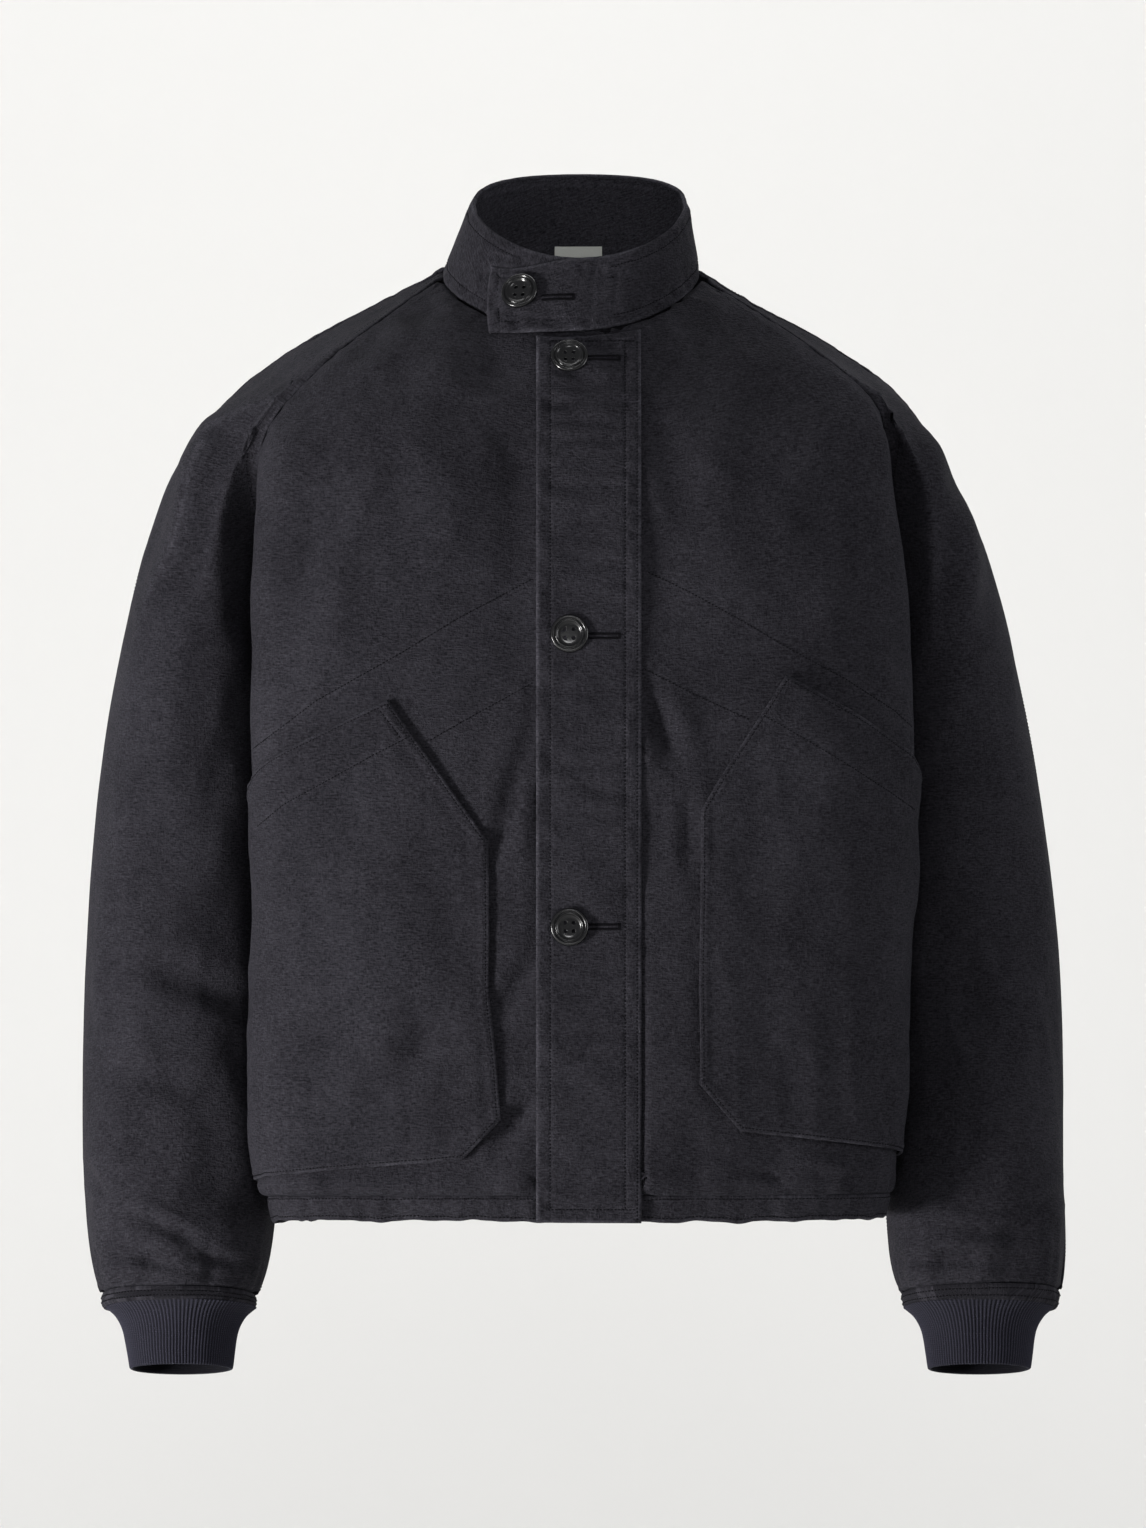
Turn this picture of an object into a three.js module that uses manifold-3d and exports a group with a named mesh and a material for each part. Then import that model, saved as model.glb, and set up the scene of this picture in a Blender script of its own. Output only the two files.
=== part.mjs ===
// A waist length canvas work jacket with raglan sleeves, filled out and hanging with no wearer.
// Millimetres, +Z up, the front faces -Y and the wearer's left is +X.
// The origin lies between the shoulders at the height of the neck points.

import * as THREE from 'three';
import { mergeVertices } from 'three/addons/utils/BufferGeometryUtils.js';
import Module from 'manifold-3d';

const wasm = await Module();
wasm.setup();

// Cloth
const WALL = 2;
const HEM_WALL = 3;
const RIB_WALL = 2.4;
const SEAM_GAP = 0.5;
const THINNEST_SEAM = 0.35;
const PATCH_WALL = 1.8;
const PATCH_LIFT = 0.8;

// Neck seam and collar rim: loops round the neck, angle 0 at the front and 180 degrees at the back
const NECK = { midX: -6, midY: -6, halfWidth: 84, halfDepth: 76, height: -12, rise: 26, lift: 13 };
const RIM = { midX: 0, midY: -4, halfWidth: 70, halfDepth: 66, height: 40.5, rise: 30.5, lift: 9 };
const FRONT_NECK_END = THREE.MathUtils.degToRad(88);
const BACK_NECK_END = THREE.MathUtils.degToRad(118);
const SLEEVE_TOP = THREE.MathUtils.degToRad(103);
const COLLAR_SEAM_RISE = 0.3;
const TAB_END_X = -52;
const TAB_STEP = 3.2;
const TAB_STEP_FROM = THREE.MathUtils.degToRad(70);
const TAB_DROP = { base: 12, rim: 19, over: THREE.MathUtils.degToRad(50), flareBase: 13, flareRim: 4.5 };
const TAB_COLUMNS = 8;
const COLLAR_UNDER_X = 14;
const COLLAR_COLUMNS = 46;
const COLLAR_ROWS = 4;

// The two fronts meet under the placket
const RIGHT_FRONT_EDGE_X = 20;
const LEFT_FRONT_EDGE_X = 24;
const PLACKET = { left: -28, right: 39, top: 0.013, columns: 6 };

// Share of the way from neck to hem where the armhole ends and the hem casing starts
const ARMHOLE_V = 0.34;
const HEM_V = 0.972;
const ARMHOLE_ROWS = 9;
const BODY_ROWS = 11;
const NECK_FADE_V = 0.2;
const CHEST_ROUNDNESS = 2.6;
const NECK_ROUNDNESS = 2;

// Places across a body panel, close together where the side rounds away
const FRONT_COLUMNS = [0, 0.13, 0.26, 0.38, 0.49, 0.57, 0.63, 0.68, 0.73, 0.78, 0.84, 0.91, 1];
const BACK_COLUMNS = [0, 0.14, 0.28, 0.41, 0.51, 0.59, 0.66, 0.72, 0.78, 0.85, 0.92, 1];

// Body sections from neck to hem: the middle, the side fold and the side seam or armhole seam
const BODY_NAMES = ['v', 'midX', 'midY', 'midZ', 'foldX', 'foldY', 'foldZ', 'endX', 'endY', 'endZ'];
const FRONT_RIGHT = named(BODY_NAMES, [
  [0.00, -6, -82, -38, -90, -9, 0, -90, -9, 0],
  [0.06, -6, -98, -61, -133, -40, -31, -133, -40, -31],
  [0.13, -5, -114, -91, -172, -57, -64, -172, -57, -64],
  [0.21, -3, -126, -128, -212, -62, -113, -211, -60, -114],
  [0.27, -1, -133, -162, -214, -62, -160, -197, -22, -165],
  [ARMHOLE_V, 0, -138, -205, -213, -62, -205, -174, 12, -205],
  [0.50, 0, -142, -303, -213, -60, -303, -174, 14, -303],
  [0.66, 0, -144, -401, -210, -60, -402, -175, 14, -402],
  [0.82, 0, -144, -499, -208, -60, -501, -176, 10, -501],
  [0.94, 0, -143, -572, -207, -60, -575, -176, 4, -575],
  [1.00, 0, -138, -608, -200, -60, -612, -174, 2, -612],
]);
const FRONT_LEFT = named(BODY_NAMES, [
  [0.00, -6, -82, -38, 78, -9, 0, 78, -9, 0],
  [0.06, -6, -98, -61, 122, -40, -28, 122, -40, -28],
  [0.13, -5, -114, -91, 161, -57, -56, 161, -57, -56],
  [0.21, -3, -126, -128, 200, -62, -96, 200, -60, -97],
  [0.27, -1, -133, -162, 206, -62, -150, 190, -22, -156],
  [ARMHOLE_V, 0, -138, -205, 212, -62, -203, 174, 12, -205],
  [0.50, 0, -142, -303, 216, -60, -303, 174, 14, -303],
  [0.66, 0, -144, -401, 214, -60, -402, 175, 14, -402],
  [0.82, 0, -144, -499, 210, -60, -501, 176, 10, -501],
  [0.94, 0, -143, -572, 205, -60, -574, 176, 4, -575],
  [1.00, 0, -138, -608, 197, -60, -608, 174, 2, -610],
]);
const BACK_RIGHT = named(BODY_NAMES, [
  [0.00, -6, 70, 14, -80, 30, 10, -80, 30, 10],
  [0.06, -6, 88, -8, -122, 54, -19, -122, 54, -19],
  [0.13, -5, 106, -38, -164, 72, -52, -164, 72, -52],
  [0.21, -3, 120, -84, -202, 82, -108, -201, 80, -109],
  [0.27, -1, 129, -132, -206, 84, -158, -193, 48, -163],
  [ARMHOLE_V, 0, 135, -196, -204, 86, -205, -174, 12, -205],
  [0.50, 0, 138, -300, -202, 92, -303, -174, 14, -303],
  [0.66, 0, 138, -401, -201, 92, -402, -175, 14, -402],
  [0.82, 0, 134, -500, -199, 86, -501, -176, 10, -501],
  [0.94, 0, 128, -574, -197, 76, -575, -176, 4, -575],
  [1.00, 0, 120, -611, -190, 66, -612, -174, 2, -612],
]);
const BACK_LEFT = named(BODY_NAMES, [
  [0.00, -6, 70, 14, 68, 30, 10, 68, 30, 10],
  [0.06, -6, 88, -8, 112, 54, -17, 112, 54, -17],
  [0.13, -5, 106, -38, 154, 72, -48, 154, 72, -48],
  [0.21, -3, 120, -84, 192, 82, -98, 191, 80, -99],
  [0.27, -1, 129, -132, 200, 84, -150, 187, 48, -156],
  [ARMHOLE_V, 0, 135, -196, 203, 86, -205, 174, 12, -205],
  [0.50, 0, 138, -300, 203, 92, -303, 174, 14, -303],
  [0.66, 0, 138, -401, 201, 92, -402, 175, 14, -402],
  [0.82, 0, 134, -500, 199, 86, -501, 176, 10, -501],
  [0.94, 0, 128, -574, 195, 76, -575, 176, 4, -575],
  [1.00, 0, 120, -611, 188, 66, -610, 174, 2, -610],
]);

// Sleeve sections from armhole to cuff: the overarm and underarm seams, the middle in depth,
// the half depth, how far the middle of the section bows out past the line between the seams,
// and how steeply the section tilts up to the front
const SLEEVE_NAMES = ['v', 'outX', 'outZ', 'inX', 'inZ', 'midY', 'depth', 'bow', 'tilt'];
const SLEEVE_RIGHT = named(SLEEVE_NAMES, [
  [0.00, -88, 6, -174, -205, 12, 71, 65, 0],
  [0.06, -124, -13, -182, -210, 13, 72, 62, 0],
  [0.12, -157, -29, -183, -221, 14, 72, 57, 0],
  [0.20, -197, -52, -187, -233, 16, 73, 47, 0],
  [0.28, -231, -79, -190, -247, 20, 74, 35, 0],
  [0.36, -262, -119, -193, -266, 24, 75, 21, 0],
  [0.44, -283, -171, -195, -293, 28, 75, 10, 0],
  [0.52, -299, -235, -196, -333, 32, 75, 3, 0],
  [0.62, -314, -318, -196, -391, 34, 74, 0, 0],
  [0.72, -321, -410, -195, -456, 29, 72, 0, 0],
  [0.82, -324, -500, -195, -526, 14, 69, 0, 0.04],
  [0.90, -323, -572, -196, -586, -4, 65, 0, 0.09],
  [0.96, -319, -628, -200, -636, -20, 60, 0, 0.14],
  [1.00, -311, -659, -208, -660, -30, 51, 0, 0.17],
]);
const SLEEVE_LEFT = named(SLEEVE_NAMES, [
  [0.00, 76, 6, 174, -205, 12, 71, 65, 0],
  [0.06, 112, -17, 182, -210, 13, 72, 62, 0],
  [0.12, 146, -33, 183, -221, 14, 72, 57, 0],
  [0.20, 187, -59, 187, -233, 16, 73, 45, 0],
  [0.28, 214, -80, 190, -247, 20, 74, 34, 0],
  [0.36, 240, -121, 192, -266, 24, 75, 20, 0],
  [0.44, 262, -168, 194, -293, 28, 75, 9, 0],
  [0.52, 281, -233, 195, -333, 32, 75, 3, 0],
  [0.62, 298, -318, 196, -391, 34, 74, 0, 0],
  [0.72, 311, -409, 196, -456, 29, 72, 0, 0],
  [0.82, 315, -500, 197, -526, 14, 69, 0, 0.04],
  [0.90, 314, -575, 198, -586, -4, 65, 0, 0.09],
  [0.96, 315, -626, 200, -636, -20, 60, 0, 0.14],
  [1.00, 312, -657, 206, -659, -30, 51, 0, 0.17],
]);
const SLEEVE_ROWS = [
  0, 0.03, 0.07, 0.12, 0.18, 0.25, 0.32, 0.4, 0.48, 0.56, 0.64, 0.72, 0.79,
  0.845, 0.885, 0.915, 0.945, 0.972, 1,
];
const SEAM_FADE_V = 0.42;
const SLEEVE_ROUNDNESS = 2.2;
const RELIEF_FROM_V = 0.15;

// Gathers where the sleeve is drawn into the cuff, and the crosswise folds that bag over it
const GATHERS = { count: 6, height: 3, from: 0.86 };
const BAGGING = { height: 4, from: 0.87, pitch: 0.06, rise: 0.04, fall: 0.05 };

// Soft troughs and ridges of a sleeve panel, depth positive inwards
const FOLD_NAMES = ['v', 'u', 'length', 'width', 'tilt', 'depth'];
const SLEEVE_FOLDS = named(FOLD_NAMES, [
  [0.31, 0.52, 0.15, 0.12, 1.2, 4.5],
  [0.36, 0.78, 0.16, 0.08, 1.0, -4],
  [0.55, 0.40, 0.14, 0.07, 0.5, 4],
  [0.66, 0.55, 0.12, 0.05, -0.6, 4],
  [0.76, 0.42, 0.12, 0.05, 0.7, 4],
]);

// Plain strip above the rib and the rib cuff: height, half width, half depth and middle
const CUFF_NAMES = ['z', 'halfX', 'halfY', 'midX', 'midY'];
const CUFF_SECTIONS = named(CUFF_NAMES, [
  [-669, 48, 46, 258, -33],
  [-673, 42.5, 41, 258, -34],
  [-683, 37, 35.5, 258, -37],
  [-696, 35, 32.5, 258, -41],
  [-707, 33.5, 31.5, 258, -44],
]);
const EDGE_BOTTOM = { z: -668.4, halfX: 50.5, halfY: 48.5, midX: 259.5, midY: -33 };
const CUFF_TILT = 0.17;
const RIBS = 72;
const RIB_HEIGHT = 0.5;
const INNER_SHARE = 4;

// Patch pockets on the fronts: the edge from the peak of the mouth down to the bottom corner,
// and the heights at the side seam
const POCKET_NAMES = ['x', 'z', 'cells'];
const POCKET_RIGHT = {
  edge: named(POCKET_NAMES, [
    [-121, -275, 4], [-58, -366, 3], [-57, -462, 3], [-49, -545, 2], [-74, -571, 0],
  ]),
  sideTop: -374,
  sideBottom: -590,
};
const POCKET_LEFT = {
  edge: named(POCKET_NAMES, [
    [130, -259, 4], [75, -346, 3], [75, -435, 3], [75, -522, 2], [101, -552, 0],
  ]),
  sideTop: -368,
  sideBottom: -575,
};
const POCKET_FLAT_CELLS = 4;
const POCKET_ROUND_FROM = 4;

// Hem casing with its gathers
const HEM = {
  from: 0.9732, columns: 24, backColumns: 40, rows: 2, gatherHeight: 1.4, gatherPitch: 31,
  rightFlat: 50, leftFlat: 18,
};

// Four hole buttons
const BUTTON = { radius: 12.2, thick: 3.4, hole: 1.2, holeOut: 3.8, holeSides: 5, sides: 22 };
const BUTTON_PROFILE = [
  [0, 0], [10, 0], [12.2, 1.4], [11.7, 2.9], [10.8, 3.4], [9.4, 3.2], [7.6, 2.6], [3.4, 2.1], [0, 2.1],
];
const BUTTON_GAP = 0.4;
const PLACKET_BUTTON_X = -7;
const PLACKET_BUTTON_HEIGHTS = [-55.5, -234, -420];
const COLLAR_BUTTON = { x: -38.5, z: -12.5 };

// Bare label inside the back of the neck
const LABEL = { width: 31, height: 24, thick: 0.8, top: 23.5, x: -1, gap: 0.5, sag: 2.4 };

const CANVAS = { color: 0x28272c, roughness: 0.92, metalness: 0 };
const RIB = { color: 0x23263a, roughness: 0.95, metalness: 0 };
const GLOSS = { color: 0x0b0b0d, roughness: 0.2, metalness: 0 };
const TAPE = { color: 0xe6e6de, roughness: 0.8, metalness: 0 };

// Tables and curves

function named(names, rows) {
  return rows.map((row) => Object.fromEntries(names.map((name, k) => [name, row[k]])));
}

function mix(a, b, t) {
  return a + (b - a) * t;
}

function smooth(t) {
  const s = THREE.MathUtils.clamp(t, 0, 1);
  return s * s * (3 - 2 * s);
}

// One row of a table between its rows, each column a smooth curve of v. The end of a body section
// turns at the armhole, where the side seam starts.
function rowAt(rows, v) {
  let k = rows.length - 2;
  while (k > 0 && rows[k].v > v) {
    k -= 1;
  }
  const from = rows[k];
  const to = rows[k + 1];
  const span = to.v - from.v;
  const t = (v - from.v) / span;
  const out = {};
  for (const name of Object.keys(from)) {
    const turns = name.startsWith('end');
    const before = turns && from.v === ARMHOLE_V ? from : rows[Math.max(k - 1, 0)];
    const after = turns && to.v === ARMHOLE_V ? to : rows[Math.min(k + 2, rows.length - 1)];
    const start = ((to[name] - before[name]) / (to.v - before.v)) * span;
    const end = ((after[name] - from[name]) / (after.v - from.v)) * span;
    const a = 2 * t ** 3 - 3 * t ** 2 + 1;
    const b = t ** 3 - 2 * t ** 2 + t;
    const c = 3 * t ** 2 - 2 * t ** 3;
    const d = t ** 3 - t ** 2;
    out[name] = a * from[name] + b * start + c * to[name] + d * end;
  }
  return out;
}

// The point a share of the way along a line of points, by length
function along(points, shares) {
  const lengths = [0];
  for (let k = 1; k < points.length; k += 1) {
    lengths.push(lengths[k - 1] + points[k].distanceTo(points[k - 1]));
  }
  const total = lengths[lengths.length - 1];
  return shares.map((share) => {
    const want = share * total;
    let k = 1;
    while (k < points.length - 1 && lengths[k] < want) {
      k += 1;
    }
    const step = lengths[k] - lengths[k - 1];
    const t = step > 0 ? (want - lengths[k - 1]) / step : 0;
    return points[k - 1].clone().lerp(points[k], t);
  });
}

function shares(count) {
  return Array.from({ length: count + 1 }, (_, k) => k / count);
}

// A loop round the neck at an angle from the front, side -1 for the wearer's right
function loopPoint(loop, side, angle) {
  return new THREE.Vector3(
    loop.midX + side * loop.halfWidth * Math.sin(angle),
    loop.midY - loop.halfDepth * Math.cos(angle),
    loop.height - loop.rise * Math.cos(angle) + loop.lift * Math.sin(angle) ** 2,
  );
}

// Body panels

const CUTS = {
  frontRight: { table: FRONT_RIGHT, side: -1, neckFrom: 0, neckTo: FRONT_NECK_END },
  frontLeft: { table: FRONT_LEFT, side: 1, neckFrom: 0, neckTo: FRONT_NECK_END },
  backRight: { table: BACK_RIGHT, side: -1, neckFrom: Math.PI, neckTo: BACK_NECK_END },
  backLeft: { table: BACK_LEFT, side: 1, neckFrom: Math.PI, neckTo: BACK_NECK_END },
};
const ARC_STEPS = 60;
const RETURN_STEPS = 24;
const RETURN_EASE = 0.8;

// A point of the front or back arc of a section, turn from 0 at the middle to 90 degrees at the fold
function arcPoint(section, roundness, turn) {
  const across = Math.sign(turn) * Math.abs(Math.sin(turn)) ** (2 / roundness);
  const out = Math.abs(Math.cos(turn)) ** (2 / roundness);
  return new THREE.Vector3(
    mix(section.midX, section.foldX, across),
    mix(section.foldY, section.midY, out),
    mix(section.foldZ, section.midZ, out),
  );
}

function roundnessAt(v) {
  return mix(NECK_ROUNDNESS, CHEST_ROUNDNESS, Math.min(v / ARMHOLE_V, 1));
}

function turnAt(section, roundness, x) {
  const reach = (x - section.midX) / (section.foldX - section.midX);
  return Math.sign(reach) * Math.asin(Math.min(Math.abs(reach), 1) ** (roundness / 2));
}

function panelPoint(cut, v, section, turn) {
  const point = arcPoint(section, roundnessAt(v), turn);
  const fade = (1 - Math.min(v / NECK_FADE_V, 1)) ** 2;
  const angle = mix(cut.neckFrom, cut.neckTo, Math.abs(turn) / (Math.PI / 2));
  const neck = loopPoint(NECK, turn < 0 ? -cut.side : cut.side, angle);
  const plain = arcPoint(cut.table[0], NECK_ROUNDNESS, turn);
  return point.addScaledVector(neck.sub(plain), fade);
}

// A whole section of a panel from x to its side seam or armhole seam
function panelRow(cut, v, x) {
  const section = rowAt(cut.table, v);
  const start = turnAt(section, roundnessAt(v), x);
  const points = [];
  for (let k = 0; k <= ARC_STEPS; k += 1) {
    points.push(panelPoint(cut, v, section, mix(start, Math.PI / 2, k / ARC_STEPS)));
  }
  const fold = points[ARC_STEPS].clone();
  const reach = new THREE.Vector3(
    section.endX - section.foldX,
    section.endY - section.foldY,
    section.endZ - section.foldZ,
  );
  for (let k = 1; k <= RETURN_STEPS; k += 1) {
    const t = k / RETURN_STEPS;
    const ease = (1 - Math.cos(Math.PI * t ** RETURN_EASE)) / 2;
    points.push(new THREE.Vector3(reach.x * ease, reach.y * t, reach.z * t).add(fold));
  }
  return points;
}

function bodyHeights() {
  const heights = [];
  for (let k = 0; k < ARMHOLE_ROWS; k += 1) {
    heights.push((ARMHOLE_V * k) / ARMHOLE_ROWS);
  }
  for (let k = 0; k <= BODY_ROWS; k += 1) {
    heights.push(mix(ARMHOLE_V, HEM_V, k / BODY_ROWS));
  }
  return heights;
}

const HALVINGS = 30;

// The height share of a body row from its height at the side fold, below the armhole
function heightShare(cut, z) {
  let low = ARMHOLE_V;
  let high = 1;
  for (let k = 0; k < HALVINGS; k += 1) {
    const mid = (low + high) / 2;
    if (rowAt(cut.table, mid).foldZ > z) {
      low = mid;
    } else {
      high = mid;
    }
  }
  return (low + high) / 2;
}

// Walls

const KEYS_PER_MM = 50;
const MOST_PULL = 0.4;
const keyOf = (point) => point.toArray().map((value) => Math.round(value * KEYS_PER_MM)).join();

// The outward direction at each point of a grid, summed over the faces that meet there
function addNormals(sums, grid, wrap, core) {
  const columns = grid[0].length;
  const own = new Map();
  let facing = 0;
  for (let j = 0; j + 1 < grid.length; j += 1) {
    for (let i = 0; i < (wrap ? columns : columns - 1); i += 1) {
      const n = (i + 1) % columns;
      const corners = [grid[j][i], grid[j][n], grid[j + 1][n], grid[j + 1][i]];
      const normal = corners[2].clone().sub(corners[0]).cross(corners[3].clone().sub(corners[1]));
      const middle = corners[0].clone().add(corners[2]).multiplyScalar(0.5);
      facing += normal.dot(middle.sub(core(middle, j)));
      for (const key of corners.map(keyOf)) {
        own.set(key, (own.get(key) ?? new THREE.Vector3()).add(normal));
      }
    }
  }
  for (const [key, normal] of own) {
    normal.normalize().multiplyScalar(Math.sign(facing));
    const sum = sums.get(key) ?? { way: new THREE.Vector3(), pieces: 0 };
    sum.way.add(normal);
    sum.pieces += 1;
    sums.set(key, sum);
  }
}

// The mean of the pieces' directions at each point, which is shorter where they meet in a sharp fold
function normalsOf(grid, sums) {
  return grid.map((row) => row.map((point) => {
    const { way, pieces } = sums.get(keyOf(point));
    return way.clone().divideScalar(pieces).clampLength(THINNEST_SEAM, 1);
  }));
}

// Pull the open edges of a grid in by half a seam gap
function insetEdges(grid, wrap) {
  const copy = grid.map((row) => row.map((point) => point.clone()));
  const half = SEAM_GAP / 2;
  const pull = (point, towards) => {
    const way = towards.clone().sub(point);
    const length = way.length();
    if (length > 0) {
      point.addScaledVector(way, Math.min(half / length, MOST_PULL));
    }
  };
  const last = grid.length - 1;
  const end = grid[0].length - 1;
  for (let i = 0; i <= end; i += 1) {
    pull(copy[0][i], grid[1][i]);
    pull(copy[last][i], grid[last - 1][i]);
  }
  if (!wrap) {
    for (let j = 0; j <= last; j += 1) {
      pull(copy[j][0], grid[j][1]);
      pull(copy[j][end], grid[j][end - 1]);
    }
  }
  return copy;
}

// A closed wall between an outer and an inner grid, whose rows may have fewer points
function wallGeometry(outer, inner, wrap) {
  const positions = [];
  const faces = [];
  const put = (grid) => grid.map((row) => row.map((point) => {
    positions.push(point.x, point.y, point.z);
    return positions.length / 3 - 1;
  }));
  const out = put(outer);
  const into = put(inner);
  const rows = out.length;
  const quad = (a, b, c, d) => {
    faces.push(a, b, c, a, c, d);
  };
  const skin = (ids, turned) => {
    const count = ids[0].length;
    for (let j = 0; j + 1 < rows; j += 1) {
      for (let i = 0; i < (wrap ? count : count - 1); i += 1) {
        const n = (i + 1) % count;
        if (turned) {
          quad(ids[j][i], ids[j + 1][i], ids[j + 1][n], ids[j][n]);
        } else {
          quad(ids[j][i], ids[j][n], ids[j + 1][n], ids[j + 1][i]);
        }
      }
    }
  };
  skin(out, false);
  skin(into, true);
  const share = out[0].length / into[0].length;
  const rim = (j, turned) => {
    const count = into[j].length;
    for (let i = 0; i < (wrap ? count : count - 1); i += 1) {
      const n = (i + 1) % count;
      const fan = [];
      for (let k = 0; k <= share; k += 1) {
        fan.push(out[j][(i * share + k) % out[j].length]);
      }
      const tri = (a, b, c) => (turned ? faces.push(a, c, b) : faces.push(a, b, c));
      for (let k = 0; k < share; k += 1) {
        const corner = k < share / 2 ? into[j][i] : into[j][n];
        tri(fan[k + 1], fan[k], corner);
      }
      tri(fan[Math.ceil(share / 2)], into[j][i], into[j][n]);
    }
  };
  if (share > 1) {
    rim(0, false);
    rim(rows - 1, true);
  } else {
    for (const j of [0, rows - 1]) {
      const count = out[j].length;
      for (let i = 0; i < (wrap ? count : count - 1); i += 1) {
        const n = (i + 1) % count;
        if (j === 0) {
          quad(out[j][n], out[j][i], into[j][i], into[j][n]);
        } else {
          quad(out[j][i], out[j][n], into[j][n], into[j][i]);
        }
      }
    }
  }
  if (!wrap) {
    const end = out[0].length - 1;
    for (let j = 0; j + 1 < rows; j += 1) {
      quad(out[j][0], out[j + 1][0], into[j + 1][0], into[j][0]);
      quad(out[j + 1][end], out[j][end], into[j][end], into[j + 1][end]);
    }
  }
  const geometry = new THREE.BufferGeometry();
  geometry.setAttribute('position', new THREE.Float32BufferAttribute(positions, 3));
  geometry.setIndex(faces);
  return facingOut(geometry);
}

function signedVolume(geometry) {
  const place = geometry.attributes.position;
  const index = geometry.index.array;
  const a = new THREE.Vector3();
  const b = new THREE.Vector3();
  const c = new THREE.Vector3();
  let sum = 0;
  for (let k = 0; k < index.length; k += 3) {
    a.fromBufferAttribute(place, index[k]);
    b.fromBufferAttribute(place, index[k + 1]);
    c.fromBufferAttribute(place, index[k + 2]);
    sum += a.dot(b.cross(c)) / 6;
  }
  return sum;
}

function facingOut(geometry) {
  if (signedVolume(geometry) < 0) {
    const index = geometry.index.array;
    for (let k = 0; k < index.length; k += 3) {
      [index[k], index[k + 1]] = [index[k + 1], index[k]];
    }
  }
  return geometry;
}

function moved(grid, normals, distance) {
  return grid.map((row, j) => row.map((point, i) => (
    point.clone().addScaledVector(normals[j][i], distance)
  )));
}

const jacket = new THREE.Group();
const skinSums = new Map();
const skinPieces = [];

function addMesh(name, geometry, look) {
  const mesh = new THREE.Mesh(geometry, new THREE.MeshStandardMaterial(look));
  mesh.name = name;
  jacket.add(mesh);
}

// A piece of the jacket's outer skin: its normals are shared with the pieces sewn to it
function skinPiece(name, grid, { wrap = false, core, wall = WALL, look = CANVAS }) {
  addNormals(skinSums, grid, wrap, core);
  skinPieces.push({ name, grid, wrap, wall, look });
}

// A piece that lies on another, made from its points moved out
function laidPiece(name, grid, core, look = CANVAS) {
  const sums = new Map();
  addNormals(sums, grid, false, core);
  const normals = normalsOf(grid, sums);
  const top = moved(grid, normals, PATCH_LIFT + PATCH_WALL);
  const under = moved(grid, normals, PATCH_LIFT);
  addMesh(name, wallGeometry(top, under, false), look);
  return { top, normals };
}

const bodyCore = (point) => new THREE.Vector3(0, 0, point.z);

// Fronts and back

const heights = bodyHeights();
const rightFrontRow = (v, columns) => along(panelRow(CUTS.frontRight, v, RIGHT_FRONT_EDGE_X), columns);
const leftFrontRow = (v, columns) => along(panelRow(CUTS.frontLeft, v, LEFT_FRONT_EDGE_X), columns);
const frontRightGrid = heights.map((v) => rightFrontRow(v, FRONT_COLUMNS));
const frontLeftGrid = heights.map((v) => leftFrontRow(v, FRONT_COLUMNS));
const backRow = (v, columns) => {
  const middle = rowAt(BACK_RIGHT, v).midX;
  const right = along(panelRow(CUTS.backRight, v, middle), columns);
  const left = along(panelRow(CUTS.backLeft, v, middle), columns);
  return [...right.reverse(), ...left.slice(1)];
};
const backGrid = heights.map((v) => backRow(v, BACK_COLUMNS));
skinPiece('front_right', frontRightGrid, { core: bodyCore });
skinPiece('front_left', frontLeftGrid, { core: bodyCore });
skinPiece('back', backGrid, { core: bodyCore });

// Hem casing, drawn up in small gathers

// Rows of a piece of casing, plain for a length under the placket and gathered from there on
function hemGrid(rowOf, flat) {
  const grid = [];
  for (let k = 0; k <= HEM.rows; k += 1) {
    const row = rowOf(mix(HEM.from, 1, k / HEM.rows));
    let length = 0;
    grid.push(row.map((point, i) => {
      length += i > 0 ? point.distanceTo(row[i - 1]) : 0;
      const free = smooth((length - flat) / HEM.gatherPitch);
      const turn = length / HEM.gatherPitch;
      const wave = free * Math.sin(2 * Math.PI * turn) * Math.sin(turn);
      const out = new THREE.Vector3(point.x, point.y, 0).normalize();
      return point.clone().addScaledVector(out, (k / HEM.rows) * HEM.gatherHeight * wave);
    }));
  }
  return grid;
}

const hemRows = {
  hem_right: [(v) => rightFrontRow(v, shares(HEM.columns)), HEM.rightFlat],
  hem_left: [(v) => leftFrontRow(v, shares(HEM.columns)), HEM.leftFlat],
  hem_back: [(v) => backRow(v, shares(HEM.backColumns / 2)), 0],
};
for (const [name, [rowOf, flat]] of Object.entries(hemRows)) {
  const grid = hemGrid(rowOf, flat);
  const sums = new Map();
  addNormals(sums, grid, false, bodyCore);
  const outer = insetEdges(grid, false);
  addMesh(name, wallGeometry(outer, moved(outer, normalsOf(grid, sums), -HEM_WALL), false), CANVAS);
}

// Sleeves

function sleeveBase(section, turn, face) {
  const lift = Math.sign(Math.cos(turn)) * Math.abs(Math.cos(turn)) ** (2 / SLEEVE_ROUNDNESS);
  const out = Math.abs(Math.sin(turn)) ** (2 / SLEEVE_ROUNDNESS);
  const half = new THREE.Vector3(section.outX - section.inX, 0, section.outZ - section.inZ);
  half.multiplyScalar(0.5);
  const point = new THREE.Vector3(section.inX, section.midY, section.inZ).add(half);
  point.addScaledVector(half, -lift);
  const aside = new THREE.Vector3(half.z, 0, -half.x).normalize();
  aside.multiplyScalar(Math.sign(section.inX) * Math.sign(half.z));
  point.addScaledVector(aside, section.bow * Math.sin(turn));
  point.y += face * section.depth * out;
  point.z -= face * section.depth * out * section.tilt;
  return point;
}

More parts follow.
